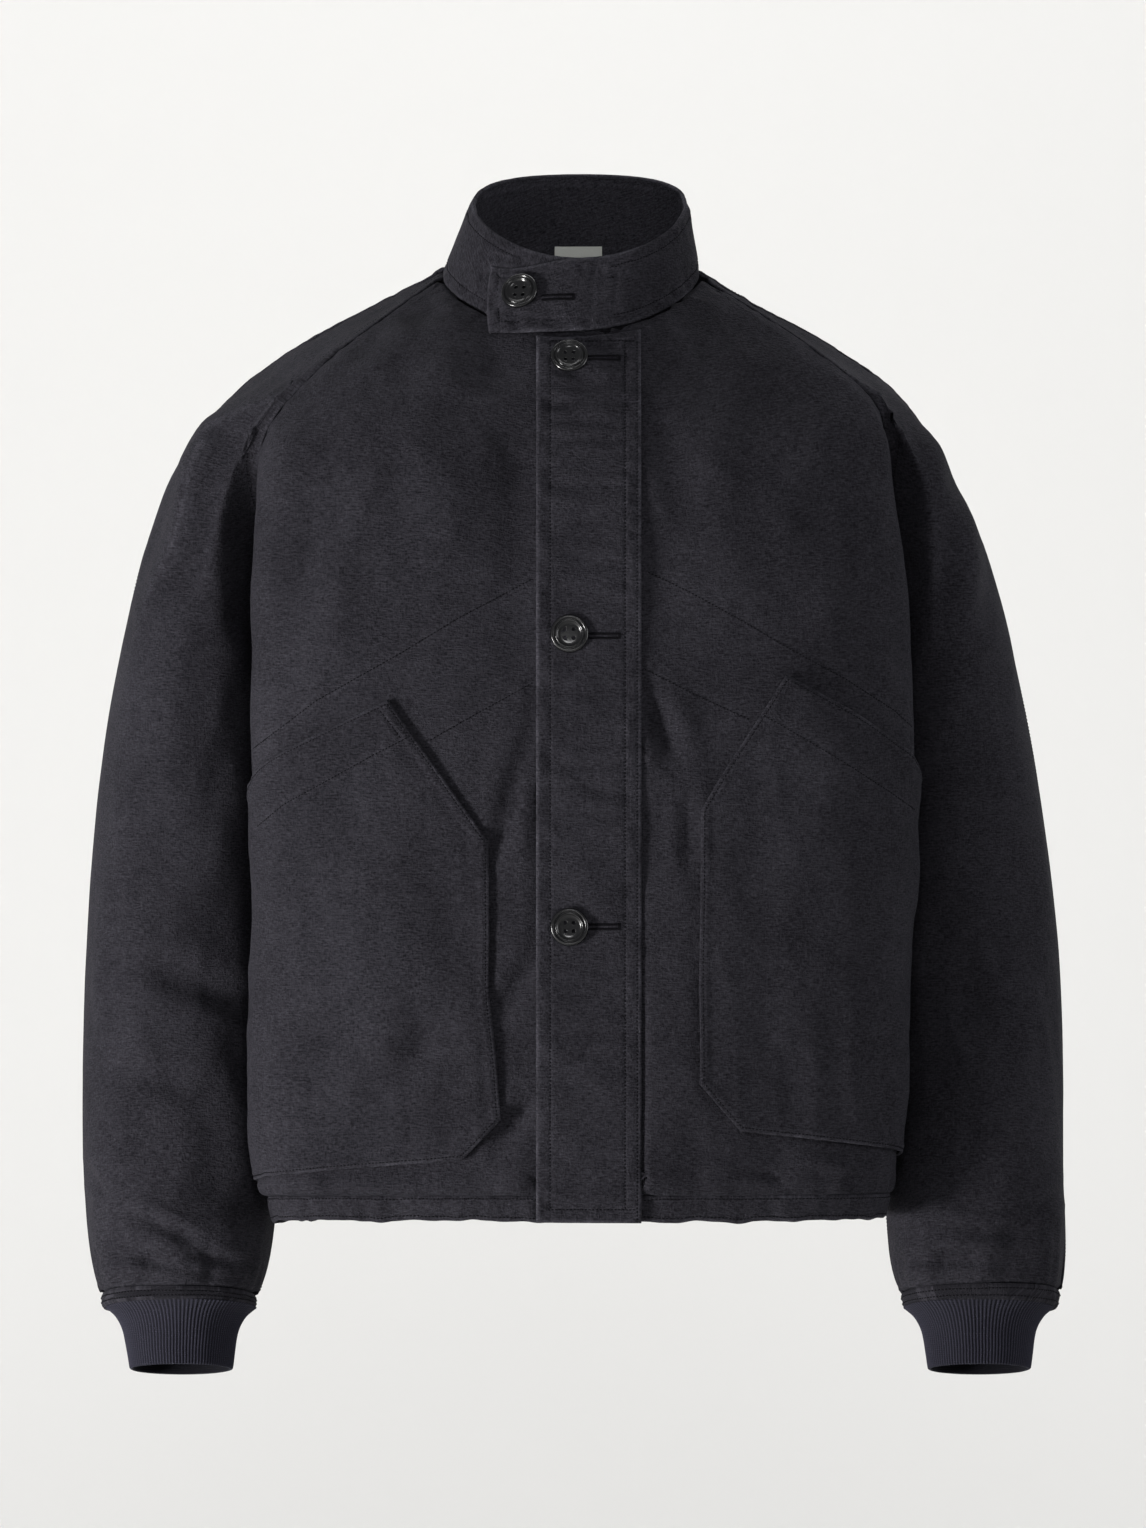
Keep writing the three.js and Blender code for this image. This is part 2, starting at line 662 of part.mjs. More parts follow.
// How far the cloth of a sleeve stands out at a place, from its folds, gathers and bagging
function sleeveRelief(v, u, turn) {
  let height = 0;
  for (const fold of SLEEVE_FOLDS) {
    const downAway = v - fold.v;
    const acrossAway = u - fold.u - fold.tilt * downAway;
    const miss = (acrossAway / fold.width) ** 2 + (downAway / fold.length) ** 2;
    height -= fold.depth * Math.exp(-miss);
  }
  const drawn = smooth((v - GATHERS.from) / (1 - GATHERS.from));
  height += drawn * GATHERS.height * Math.cos(GATHERS.count * 2 * turn);
  const below = v - BAGGING.from;
  const bag = Math.sin((2 * Math.PI * below) / BAGGING.pitch) * smooth(below / BAGGING.rise);
  height += BAGGING.height * bag * smooth((1 - v) / BAGGING.fall) * Math.sin(turn) ** 2;
  return height;
}

function sleeveGrid(table, seam, face) {
  const end = seam.length - 1;
  return SLEEVE_ROWS.map((v) => {
    const section = rowAt(table, v);
    const fade = 1 - smooth(v / SEAM_FADE_V);
    return seam.map((seamPoint, k) => {
      const turn = (Math.PI * k) / end;
      const point = sleeveBase(section, turn, face);
      const plain = sleeveBase(table[0], turn, face);
      point.addScaledVector(seamPoint.clone().sub(plain), fade);
      const middle = new THREE.Vector3((section.inX + section.outX) / 2, section.midY, point.z);
      const outwards = point.clone().sub(middle).setZ(0).normalize();
      const share = Math.sqrt(Math.sin(turn)) * smooth(v / RELIEF_FROM_V);
      return point.addScaledVector(outwards, share * sleeveRelief(v, k / end, turn));
    });
  });
}

function armholeSeam(panel, column, side) {
  const seam = [];
  for (let j = ARMHOLE_ROWS; j >= 0; j -= 1) {
    seam.push(panel[j][column].clone());
  }
  seam.push(loopPoint(NECK, side, SLEEVE_TOP));
  return seam;
}

// A ring of the cuff, turned so that its points follow the sleeve's
function cuffRing(section, side, turns) {
  return turns.map((turn) => new THREE.Vector3(
    side * (section.midX - section.halfX * Math.cos(turn)),
    section.midY - section.halfY * Math.sin(turn),
    section.z + CUFF_TILT * section.halfY * Math.sin(turn),
  ));
}

function sleeve(side, name, table, frontPanel, frontColumn, backColumn) {
  const core = (point, j) => {
    const section = rowAt(table, SLEEVE_ROWS[j]);
    const x = (section.inX + section.outX) / 2;
    return new THREE.Vector3(x, section.midY, (section.inZ + section.outZ) / 2);
  };
  const front = sleeveGrid(table, armholeSeam(frontPanel, frontColumn, side), -1);
  const back = sleeveGrid(table, armholeSeam(backGrid, backColumn, side), 1);
  skinPiece(`sleeve_${name}_front`, front, { core });
  skinPiece(`sleeve_${name}_back`, back, { core });

  const last = SLEEVE_ROWS.length - 1;
  const ring = [...front[last], ...back[last].slice(1, -1).reverse()];
  const turns = ring.map((_, k) => (2 * Math.PI * k) / ring.length);
  const edgeCore = (point) => new THREE.Vector3(side * EDGE_BOTTOM.midX, EDGE_BOTTOM.midY, point.z);
  const strip = [ring, cuffRing(EDGE_BOTTOM, side, turns)];
  skinPiece(`sleeve_edge_${name}`, strip, { wrap: true, core: edgeCore });

  const outer = [];
  const inner = [];
  const ribTurns = Array.from({ length: 2 * RIBS }, (_, k) => (Math.PI * k) / RIBS);
  const plainTurns = ribTurns.filter((_, k) => k % INNER_SHARE === 0);
  const shrunk = (section, by) => (
    { ...section, halfX: section.halfX - by, halfY: section.halfY - by }
  );
  for (const section of CUFF_SECTIONS) {
    const raised = cuffRing(section, side, ribTurns);
    const low = cuffRing(shrunk(section, RIB_HEIGHT), side, ribTurns);
    outer.push(raised.map((point, k) => (k % 2 === 0 ? point : low[k])));
    inner.push(cuffRing(shrunk(section, RIB_WALL), side, plainTurns));
  }
  addMesh(`cuff_${name}`, wallGeometry(outer, inner, true), RIB);
}

const frontEnd = FRONT_COLUMNS.length - 1;
sleeve(-1, 'right', SLEEVE_RIGHT, frontRightGrid, frontEnd, 0);
sleeve(1, 'left', SLEEVE_LEFT, frontLeftGrid, frontEnd, backGrid[0].length - 1);

for (const piece of skinPieces) {
  const outer = insetEdges(piece.grid, piece.wrap);
  const inner = moved(outer, normalsOf(piece.grid, skinSums), -piece.wall);
  addMesh(piece.name, wallGeometry(outer, inner, piece.wrap), piece.look);
}

// Collar: one strip from under the tab round the neck and over its own start

const neckTurn = (loop, x) => Math.asin((x - loop.midX) / loop.halfWidth);

// A point of the collar: turn runs from the front middle towards the wearer's right and on round
function collarPoint(turn, height) {
  const base = loopPoint(NECK, -1, turn);
  base.z += COLLAR_SEAM_RISE;
  const rim = loopPoint(RIM, -1, turn);
  const point = base.clone().lerp(rim, height);
  const over = smooth((turn - (2 * Math.PI - TAB_STEP_FROM)) / TAB_STEP_FROM);
  const hang = smooth((turn - 2 * Math.PI) / TAB_DROP.over);
  point.z -= hang * mix(TAB_DROP.base, TAB_DROP.rim, height);
  const out = new THREE.Vector3(-Math.sin(turn), -Math.cos(turn), 0);
  const flare = hang * mix(TAB_DROP.flareBase, TAB_DROP.flareRim, height);
  return point.addScaledVector(out, over * TAB_STEP + flare);
}

function collarGrid() {
  const start = -neckTurn(NECK, COLLAR_UNDER_X);
  const grid = [];
  for (let j = 0; j <= COLLAR_ROWS; j += 1) {
    const height = j / COLLAR_ROWS;
    const tab = mix(neckTurn(NECK, TAB_END_X), neckTurn(RIM, TAB_END_X), height);
    const end = 2 * Math.PI - tab;
    const row = [];
    for (let i = 0; i <= COLLAR_COLUMNS; i += 1) {
      row.push(collarPoint(mix(start, end, i / COLLAR_COLUMNS), height));
    }
    grid.push(row);
  }
  return grid;
}

const collarOuter = collarGrid();
const collarSums = new Map();
const neckCore = (point) => new THREE.Vector3(NECK.midX, NECK.midY, point.z);
addNormals(collarSums, collarOuter, false, neckCore);
const collarNormals = normalsOf(collarOuter, collarSums);
const collarInner = moved(collarOuter, collarNormals, -WALL);
addMesh('collar', wallGeometry(collarOuter, collarInner, false), CANVAS);

// Placket and pockets

function placketGrid() {
  const rows = [PLACKET.top, ...heights.filter((v) => v > PLACKET.top + 0.01), 1];
  return rows.map((v) => {
    const row = [];
    for (let i = 0; i <= PLACKET.columns; i += 1) {
      const x = mix(PLACKET.left, PLACKET.right, i / PLACKET.columns);
      const cut = x < 0 ? CUTS.frontRight : CUTS.frontLeft;
      const section = rowAt(cut.table, v);
      const point = panelPoint(cut, v, section, turnAt(section, roundnessAt(v), x));
      row.push(point.setX(x));
    }
    return row;
  });
}

const placket = laidPiece('placket', placketGrid(), bodyCore);

const SHARE_STEPS = 200;

// The share of the way across a front at which it reaches an x
function shareAt(cut, edgeX, v, x) {
  const row = along(panelRow(cut, v, edgeX), shares(SHARE_STEPS));
  return row.findIndex((point) => point.x * cut.side >= x * cut.side) / SHARE_STEPS;
}

function pocketGrid(cut, edgeX, pocket) {
  const grid = [];
  const edge = [];
  pocket.edge.forEach((from, k) => {
    const to = pocket.edge[k + 1];
    for (let i = 0; i < from.cells; i += 1) {
      const t = i / from.cells;
      edge.push({ x: mix(from.x, to.x, t), z: mix(from.z, to.z, t) });
    }
  });
  edge.push(pocket.edge[pocket.edge.length - 1]);
  const roundColumns = FRONT_COLUMNS.slice(POCKET_ROUND_FROM);
  edge.forEach((start, j) => {
    const sideZ = mix(pocket.sideTop, pocket.sideBottom, j / (edge.length - 1));
    const first = shareAt(cut, edgeX, heightShare(cut, start.z), start.x);
    const columns = shares(POCKET_FLAT_CELLS).slice(0, -1).map((t) => mix(first, roundColumns[0], t));
    columns.push(...roundColumns);
    grid.push(columns.map((u) => {
      const z = mix(start.z, sideZ, (u - first) / (1 - first));
      return along(panelRow(cut, heightShare(cut, z), edgeX), [u])[0];
    }));
  });
  return grid;
}

const rightPocket = pocketGrid(CUTS.frontRight, RIGHT_FRONT_EDGE_X, POCKET_RIGHT);
const leftPocket = pocketGrid(CUTS.frontLeft, LEFT_FRONT_EDGE_X, POCKET_LEFT);
laidPiece('pocket_right', rightPocket, bodyCore);
laidPiece('pocket_left', leftPocket, bodyCore);

// Buttons

function solidFrom(geometry) {
  geometry.deleteAttribute('normal');
  geometry.deleteAttribute('uv');
  const merged = mergeVertices(geometry, 1e-4);
  return new wasm.Manifold(new wasm.Mesh({
    numProp: 3,
    vertProperties: new Float32Array(merged.attributes.position.array),
    triVerts: new Uint32Array(merged.index.array),
  }));
}

function geometryFrom(solid) {
  const mesh = solid.getMesh();
  const geometry = new THREE.BufferGeometry();
  geometry.setAttribute('position', new THREE.Float32BufferAttribute(mesh.vertProperties, 3));
  geometry.setIndex(Array.from(mesh.triVerts));
  return geometry;
}

// A button lying on its back, its axis along +Y: raised ring, groove, dish and four holes
function buttonGeometry() {
  const profile = BUTTON_PROFILE.map(([x, y]) => new THREE.Vector2(x, y));
  let solid = solidFrom(new THREE.LatheGeometry(profile, BUTTON.sides));
  for (const [x, z] of [[1, 1], [1, -1], [-1, 1], [-1, -1]]) {
    const depth = 3 * BUTTON.thick;
    const hole = new THREE.CylinderGeometry(BUTTON.hole, BUTTON.hole, depth, BUTTON.holeSides);
    hole.translate(x * BUTTON.holeOut * Math.SQRT1_2, 0, z * BUTTON.holeOut * Math.SQRT1_2);
    solid = solid.subtract(solidFrom(hole));
  }
  return geometryFrom(solid);
}

const buttonShape = buttonGeometry();

function placeButton(name, point, normal) {
  const turn = new THREE.Quaternion().setFromUnitVectors(new THREE.Vector3(0, 1, 0), normal);
  const mesh = new THREE.Mesh(buttonShape.clone(), new THREE.MeshStandardMaterial(GLOSS));
  mesh.name = name;
  mesh.quaternion.copy(turn);
  mesh.position.copy(point).addScaledVector(normal, BUTTON_GAP);
  jacket.add(mesh);
}

const CELL_STEPS = shares(10);

// The place on the front of a grid's outer points nearest to an x and z
function spotOn(top, normals, x, z) {
  let best = { miss: Infinity };
  for (let j = 0; j + 1 < top.length; j += 1) {
    for (let i = 0; i + 1 < top[0].length; i += 1) {
      for (const s of CELL_STEPS) {
        for (const t of CELL_STEPS) {
          const point = top[j][i].clone().lerp(top[j][i + 1], s);
          point.lerp(top[j + 1][i].clone().lerp(top[j + 1][i + 1], s), t);
          const miss = Math.hypot(point.x - x, point.z - z);
          if (point.y < 0 && miss < best.miss) {
            const normal = normals[j][i].clone().lerp(normals[j + 1][i + 1], 0.5);
            best = { miss, point, normal: normal.normalize() };
          }
        }
      }
    }
  }
  return best;
}

PLACKET_BUTTON_HEIGHTS.forEach((z, k) => {
  const spot = spotOn(placket.top, placket.normals, PLACKET_BUTTON_X, z);
  placeButton(`button_${k + 1}`, spot.point, spot.normal);
});
const tabSpot = spotOn(
  collarOuter.map((row) => row.slice(-TAB_COLUMNS)),
  collarNormals.map((row) => row.slice(-TAB_COLUMNS)),
  COLLAR_BUTTON.x,
  COLLAR_BUTTON.z,
);
placeButton('button_collar', tabSpot.point, tabSpot.normal);

// Label

const neckBack = loopPoint(NECK, -1, Math.PI);
const rimBack = loopPoint(RIM, -1, Math.PI);
const lean = Math.atan2(neckBack.y - rimBack.y, rimBack.z - neckBack.z);
const label = new THREE.Mesh(
  new THREE.BoxGeometry(LABEL.width, LABEL.thick, LABEL.height),
  new THREE.MeshStandardMaterial(TAPE),
);
label.name = 'label';
label.rotation.x = lean;
const labelZ = LABEL.top - LABEL.height / 2;
const labelShare = (labelZ - neckBack.z) / (rimBack.z - neckBack.z);
const labelInset = WALL + LABEL.gap + LABEL.thick / 2 + LABEL.sag;
label.position.set(LABEL.x, mix(neckBack.y, rimBack.y, labelShare) - labelInset, labelZ);
jacket.add(label);

export default jacket;
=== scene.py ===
# Canvas jacket, filled out and hanging with no wearer: its cloth, sewing, ribs and buttons.
# Metres, +Z up, the front faces -Y and the wearer's left is +X.

import math

import bmesh
import bpy
import numpy as np
from mathutils import Matrix, Vector, noise
from mathutils.bvhtree import BVHTree
from mathutils.kdtree import KDTree


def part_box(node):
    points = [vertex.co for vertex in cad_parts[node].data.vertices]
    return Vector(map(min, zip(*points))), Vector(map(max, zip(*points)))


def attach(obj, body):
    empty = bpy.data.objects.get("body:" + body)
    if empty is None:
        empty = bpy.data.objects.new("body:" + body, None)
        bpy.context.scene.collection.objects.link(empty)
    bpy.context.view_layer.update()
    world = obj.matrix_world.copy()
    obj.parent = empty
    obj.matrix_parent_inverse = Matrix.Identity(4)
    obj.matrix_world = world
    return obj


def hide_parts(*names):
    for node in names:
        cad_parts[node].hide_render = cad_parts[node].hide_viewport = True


bl_info = {
    "name": "Canvas jacket",
    "version": (1, 0, 0),
    "blender": (4, 5, 0),
    "location": "3D View > Sidebar > Jacket",
    "description": "Dresses the frame of a raglan work jacket in cloth, sewing, ribs and buttons",
    "category": "Object",
}

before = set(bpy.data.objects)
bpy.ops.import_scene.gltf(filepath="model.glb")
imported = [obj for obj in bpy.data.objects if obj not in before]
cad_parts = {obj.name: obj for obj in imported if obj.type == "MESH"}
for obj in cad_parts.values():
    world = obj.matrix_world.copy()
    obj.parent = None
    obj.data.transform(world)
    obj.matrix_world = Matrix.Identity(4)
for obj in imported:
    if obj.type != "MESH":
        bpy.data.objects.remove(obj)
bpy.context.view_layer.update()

MM = 0.001
SIDES = ("right", "left")
OUT = {"right": -1.0, "left": 1.0}


# Settings a user may change

class JacketSizes(bpy.types.PropertyGroup):
    wall: bpy.props.FloatProperty(
        name="Cloth thickness", description="Thickness of one ply of canvas with its seams",
        default=0.0016, min=0.0008, max=0.003, unit="LENGTH")
    stitch: bpy.props.FloatProperty(
        name="Stitch pitch", description="Distance from one stitch to the next",
        default=0.0024, min=0.0015, max=0.005, unit="LENGTH")
    thread: bpy.props.FloatProperty(
        name="Thread", description="Thickness of the sewing thread", default=0.0008, unit="LENGTH")
    slack: bpy.props.FloatProperty(
        name="Slackness", description="How strongly the cloth is creased", default=1.0, min=0.0, max=2.0)
    ribs: bpy.props.IntProperty(
        name="Ribs", description="Ribs round each cuff", default=104, min=40, max=160)


class JacketColours(bpy.types.PropertyGroup):
    canvas: bpy.props.FloatVectorProperty(
        name="Canvas", description="Dyed canvas", subtype="COLOR", size=3, default=(0.0064, 0.0059, 0.0080))
    # Pale end of the canvas tone: real wear along edges and seams, and also the painted highlight on one sleeve's fold
    # and the painted light inside the collar
    worn: bpy.props.FloatVectorProperty(
        name="Worn canvas", description="Canvas rubbed pale at edges and ridges",
        subtype="COLOR", size=3, default=(0.060, 0.058, 0.070))
    rib: bpy.props.FloatVectorProperty(
        name="Rib", description="Knitted cuffs", subtype="COLOR", size=3, default=(0.0125, 0.0122, 0.0180))
    thread: bpy.props.FloatVectorProperty(
        name="Thread", description="Sewing thread", subtype="COLOR", size=3, default=(0.0032, 0.0031, 0.0040))
    button: bpy.props.FloatVectorProperty(
        name="Buttons", description="Moulded buttons", subtype="COLOR", size=3, default=(0.0035, 0.0035, 0.004))
    floor: bpy.props.FloatVectorProperty(
        name="Floor", description="Studio floor", subtype="COLOR", size=3, default=(0.725, 0.72, 0.705))


# Materials

def node_group(name, inputs, outputs):
    group = bpy.data.node_groups.new(name, "ShaderNodeTree")
    for label, kind, value in inputs:
        socket = group.interface.new_socket(name=label, in_out="INPUT", socket_type=kind)
        if value is not None:
            socket.default_value = value
    for label, kind in outputs:
        group.interface.new_socket(name=label, in_out="OUTPUT", socket_type=kind)
    return group, group.nodes.new("NodeGroupInput"), group.nodes.new("NodeGroupOutput")


def math_node(tree, operation, a, b=None, c=None):
    node = tree.nodes.new("ShaderNodeMath")
    node.operation = operation
    for socket, value in zip(node.inputs, (a, b, c)):
        if value is None:
            continue
        if isinstance(value, (int, float)):
            socket.default_value = value
        else:
            tree.links.new(value, socket)
    return node.outputs[0]


def stretched_noise(tree, coordinates, scale, detail, stretch):
    """Noise drawn out along some axes, from -1 to 1 about its mean."""
    mapping = tree.nodes.new("ShaderNodeMapping")
    mapping.inputs["Scale"].default_value = stretch
    tree.links.new(coordinates, mapping.inputs["Vector"])
    texture = tree.nodes.new("ShaderNodeTexNoise")
    texture.inputs["Scale"].default_value = scale
    texture.inputs["Detail"].default_value = detail
    texture.inputs["Roughness"].default_value = 0.6
    tree.links.new(mapping.outputs["Vector"], texture.inputs["Vector"])
    return math_node(tree, "MULTIPLY_ADD", texture.outputs["Fac"], 2.0, -1.0)


def weave_group():
    """Threads of a plain canvas on its flat pattern: slubs across, warp up, lint and soft patches."""
    group, into, out = node_group(
        "canvas_threads",
        [("Vector", "NodeSocketVector", None), ("Slub", "NodeSocketFloat", 0.5)],
        [("Shade", "NodeSocketFloat"), ("Height", "NodeSocketFloat"), ("Patch", "NodeSocketFloat")],
    )
    vector = into.outputs["Vector"]
    weft = stretched_noise(group, vector, 230.0, 3.0, (1.0, 4.2, 1.0))
    warp = stretched_noise(group, vector, 260.0, 2.0, (3.6, 1.0, 1.0))
    lint = stretched_noise(group, vector, 620.0, 2.0, (1.0, 1.0, 1.0))
    small = stretched_noise(group, vector, 95.0, 3.0, (1.0, 1.3, 1.0))
    broad = stretched_noise(group, vector, 14.0, 3.0, (1.0, 1.0, 1.0))
    slubs = math_node(group, "MULTIPLY", weft, into.outputs["Slub"])
    threads = math_node(group, "MULTIPLY_ADD", warp, 0.4, slubs)
    height = math_node(group, "MULTIPLY_ADD", lint, 0.6, threads)
    patch = math_node(group, "MULTIPLY_ADD", small, 0.8, broad)
    group.links.new(height, out.inputs["Height"])
    group.links.new(height, out.inputs["Shade"])
    group.links.new(patch, out.inputs["Patch"])
    return group


def new_material(name):
    material = bpy.data.materials.new(name)
    material.use_nodes = True
    tree = material.node_tree
    shader = tree.nodes["Principled BSDF"]
    return material, tree, shader


def mix_colour(tree, factor, a, b):
    node = tree.nodes.new("ShaderNodeMix")
    node.data_type = "RGBA"
    tree.links.new(factor, node.inputs["Factor"])
    for socket, value in ((node.inputs["A"], a), (node.inputs["B"], b)):
        if hasattr(value, "links"):
            tree.links.new(value, socket)
        else:
            socket.default_value = (*value, 1.0)
    return node.outputs["Result"]


def bump_node(tree, shader, height, distance, strength):
    bump = tree.nodes.new("ShaderNodeBump")
    bump.inputs["Distance"].default_value = distance
    bump.inputs["Strength"].default_value = strength
    tree.links.new(height, bump.inputs["Height"])
    tree.links.new(bump.outputs["Normal"], shader.inputs["Normal"])


def canvas_material(name, colour, worn, slub=1.0, grain=0.0006):
    material, tree, shader = new_material(name)
    place = tree.nodes.new("ShaderNodeTexCoord")
    threads = tree.nodes.new("ShaderNodeGroup")
    threads.node_tree = bpy.data.node_groups["canvas_threads"]
    threads.inputs["Slub"].default_value = slub
    tree.links.new(place.outputs["UV"], threads.inputs["Vector"])
    # This point attribute holds real wear along edges and seams, and also a painted highlight on one sleeve and
    # painted light inside the collar
    wear = tree.nodes.new("ShaderNodeAttribute")
    wear.attribute_name = "wear"
    shade = math_node(tree, "MULTIPLY_ADD", threads.outputs["Shade"], 0.42, 0.17)
    faded = math_node(tree, "MULTIPLY_ADD", threads.outputs["Patch"], 0.16, shade)
    rubbed = math_node(tree, "MULTIPLY_ADD", threads.outputs["Shade"], 0.8, 0.8)
    pale_here = math_node(tree, "MULTIPLY_ADD", wear.outputs["Fac"], rubbed, faded)
    factor = math_node(tree, "MINIMUM", math_node(tree, "MAXIMUM", pale_here, 0.0), 1.0)
    tree.links.new(mix_colour(tree, factor, colour, worn), shader.inputs["Base Color"])
    shader.inputs["Roughness"].default_value = 0.88
    shader.inputs["Specular IOR Level"].default_value = 0.08
    shader.inputs["Sheen Weight"].default_value = 0.02
    shader.inputs["Sheen Roughness"].default_value = 0.45
    shader.inputs["Sheen Tint"].default_value = (0.80, 0.82, 1.0, 1.0)
    bump_node(tree, shader, threads.outputs["Height"], grain, 0.9)
    return material


def rib_material(colour):
    material, tree, shader = new_material("rib_knit")
    place = tree.nodes.new("ShaderNodeTexCoord")
    crest = tree.nodes.new("ShaderNodeAttribute")
    crest.attribute_name = "crest"
    stitch = tree.nodes.new("ShaderNodeTexWave")
    stitch.bands_direction = "Z"
    stitch.inputs["Scale"].default_value = 260.0
    stitch.inputs["Distortion"].default_value = 1.5
    tree.links.new(place.outputs["Object"], stitch.inputs["Vector"])
    fuzz = stretched_noise(tree, place.outputs["Object"], 800.0, 2.0, (1.0, 1.0, 1.0))
    # Painted shade and painted light on one yarn: the rib valleys and the inside of the cuff are painted dark, the
    # outer rib crests pale
    low = tuple(0.12 * value for value in colour)
    high = tuple(1.9 * value for value in colour)
    shade = math_node(tree, "MULTIPLY_ADD", fuzz, 0.12, crest.outputs["Fac"])
    tree.links.new(mix_colour(tree, shade, low, high), shader.inputs["Base Color"])
    shader.inputs["Roughness"].default_value = 0.9
    shader.inputs["Specular IOR Level"].default_value = 0.1
    shader.inputs["Sheen Weight"].default_value = 0.04
    shader.inputs["Sheen Tint"].default_value = (0.75, 0.8, 1.0, 1.0)
    height = math_node(tree, "MULTIPLY_ADD", fuzz, 0.3, stitch.outputs["Fac"])
    bump_node(tree, shader, height, 0.0003, 0.6)
    return material


def thread_material(colour):
    material, tree, shader = new_material("sewing_thread")
    place = tree.nodes.new("ShaderNodeTexCoord")
    twist = stretched_noise(tree, place.outputs["Object"], 1500.0, 1.0, (1.0, 1.0, 1.0))
    bright = tuple(2.4 * value for value in colour)
    factor = math_node(tree, "MULTIPLY_ADD", twist, 0.5, 0.4)
    tree.links.new(mix_colour(tree, factor, colour, bright), shader.inputs["Base Color"])
    shader.inputs["Roughness"].default_value = 0.8
    shader.inputs["Specular IOR Level"].default_value = 0.05
    return material


def button_material(colour):
    material, tree, shader = new_material("button_gloss")
    place = tree.nodes.new("ShaderNodeTexCoord")
    swirl = stretched_noise(tree, place.outputs["Object"], 90.0, 2.0, (1.0, 1.0, 2.0))
    bright = tuple(1.6 * value for value in colour)
    factor = math_node(tree, "MULTIPLY_ADD", swirl, 0.3, 0.3)
    tree.links.new(mix_colour(tree, factor, colour, bright), shader.inputs["Base Color"])
    rough = math_node(tree, "MULTIPLY_ADD", swirl, 0.03, 0.20)
    tree.links.new(rough, shader.inputs["Roughness"])
    shader.inputs["Specular IOR Level"].default_value = 0.5
    return material


def label_material():
    material, tree, shader = new_material("label_tape")
    place = tree.nodes.new("ShaderNodeTexCoord")
    threads = stretched_noise(tree, place.outputs["Object"], 500.0, 2.0, (1.0, 1.0, 8.0))
    factor = math_node(tree, "MULTIPLY_ADD", threads, 0.4, 0.5)
    colours = ((0.62, 0.64, 0.58), (0.80, 0.81, 0.77))
    tree.links.new(mix_colour(tree, factor, *colours), shader.inputs["Base Color"])
    shader.inputs["Roughness"].default_value = 0.7
    bump_node(tree, shader, threads, 0.0002, 0.5)
    return material


def floor_material(colour):
    material, tree, shader = new_material("studio_floor")
    place = tree.nodes.new("ShaderNodeTexCoord")
    cloud = stretched_noise(tree, place.outputs["Object"], 0.6, 2.0, (1.0, 1.0, 1.0))
    factor = math_node(tree, "MULTIPLY_ADD", cloud, 0.3, 0.5)
    soft = tuple(0.97 * value for value in colour)
    tree.links.new(mix_colour(tree, factor, soft, colour), shader.inputs["Base Color"])
    shader.inputs["Roughness"].default_value = 0.9

    # The back of the wall is open, so that the jacket shows from behind too
    side = tree.nodes.new("ShaderNodeNewGeometry")
    clear = tree.nodes.new("ShaderNodeBsdfTransparent")
    either = tree.nodes.new("ShaderNodeMixShader")
    out = next(node for node in tree.nodes if node.type == "OUTPUT_MATERIAL")
    tree.links.new(side.outputs["Backfacing"], either.inputs["Fac"])
    tree.links.new(shader.outputs["BSDF"], either.inputs[1])
    tree.links.new(clear.outputs["BSDF"], either.inputs[2])
    tree.links.new(either.outputs["Shader"], out.inputs["Surface"])
    return material


def make_materials():
    look = bpy.context.scene.jacket_colours
    weave_group()
    canvas_material("worn_canvas", look.canvas, look.worn)
    rib_material(look.rib)
    thread_material(look.thread)
    button_material(look.button)
    label_material()


# Cloth taken from the frame

SHORTEST_CLOTH_EDGE = 3.4 * MM
FOLD_LIMIT = math.radians(65)
SMALL_FACE = 2.0e-5


def outer_skin(node, facing):
    """The outer side of a frame wall as an open sheet, found by spreading from its outermost face."""
    sheet = bmesh.new()
    sheet.from_mesh(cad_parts[node].data)
    bmesh.ops.remove_doubles(sheet, verts=sheet.verts, dist=0.02 * MM)
    sheet.normal_update()
    facing = Vector(facing)
    big = [f for f in sheet.faces if f.calc_area() > SMALL_FACE and f.normal.dot(facing) > 0.3]
    seed = max(big, key=lambda f: f.calc_center_median().dot(facing))
    kept = {seed}
    edge_of_kept = [seed]
    while edge_of_kept:
        face = edge_of_kept.pop()
        for edge in face.edges:
            for other in edge.link_faces:
                if other in kept or other.normal.angle(face.normal, math.pi) > FOLD_LIMIT:
                    continue
                if min(e.calc_length() for e in other.edges) < SHORTEST_CLOTH_EDGE:
                    continue
                kept.add(other)
                edge_of_kept.append(other)
    bmesh.ops.delete(sheet, geom=[f for f in sheet.faces if f not in kept], context="FACES")
    bmesh.ops.holes_fill(sheet, edges=[e for e in sheet.edges if e.is_boundary], sides=6)
    bmesh.ops.join_triangles(
        sheet, faces=sheet.faces, angle_face_threshold=math.pi, angle_shape_threshold=math.pi)
    return sheet


def new_object(name, sheet, material):
    mesh = bpy.data.meshes.new(name)
    sheet.to_mesh(mesh)
    sheet.free()
    piece = bpy.data.objects.new(name, mesh)
    bpy.context.scene.collection.objects.link(piece)
    mesh.materials.append(bpy.data.materials[material])
    mesh.shade_smooth()
    return piece


def apply_modifiers(piece):
    depsgraph = bpy.context.evaluated_depsgraph_get()
    mesh = bpy.data.meshes.new_from_object(piece.evaluated_get(depsgraph))
    old = piece.data
    piece.modifiers.clear()
    piece.data = mesh
    bpy.data.meshes.remove(old)
    mesh.name = piece.name


BANDS = (9.5 * MM,)
CORNER_TURN = math.radians(18)
SHARP_CORNERED = ("pocket", "placket", "collar")


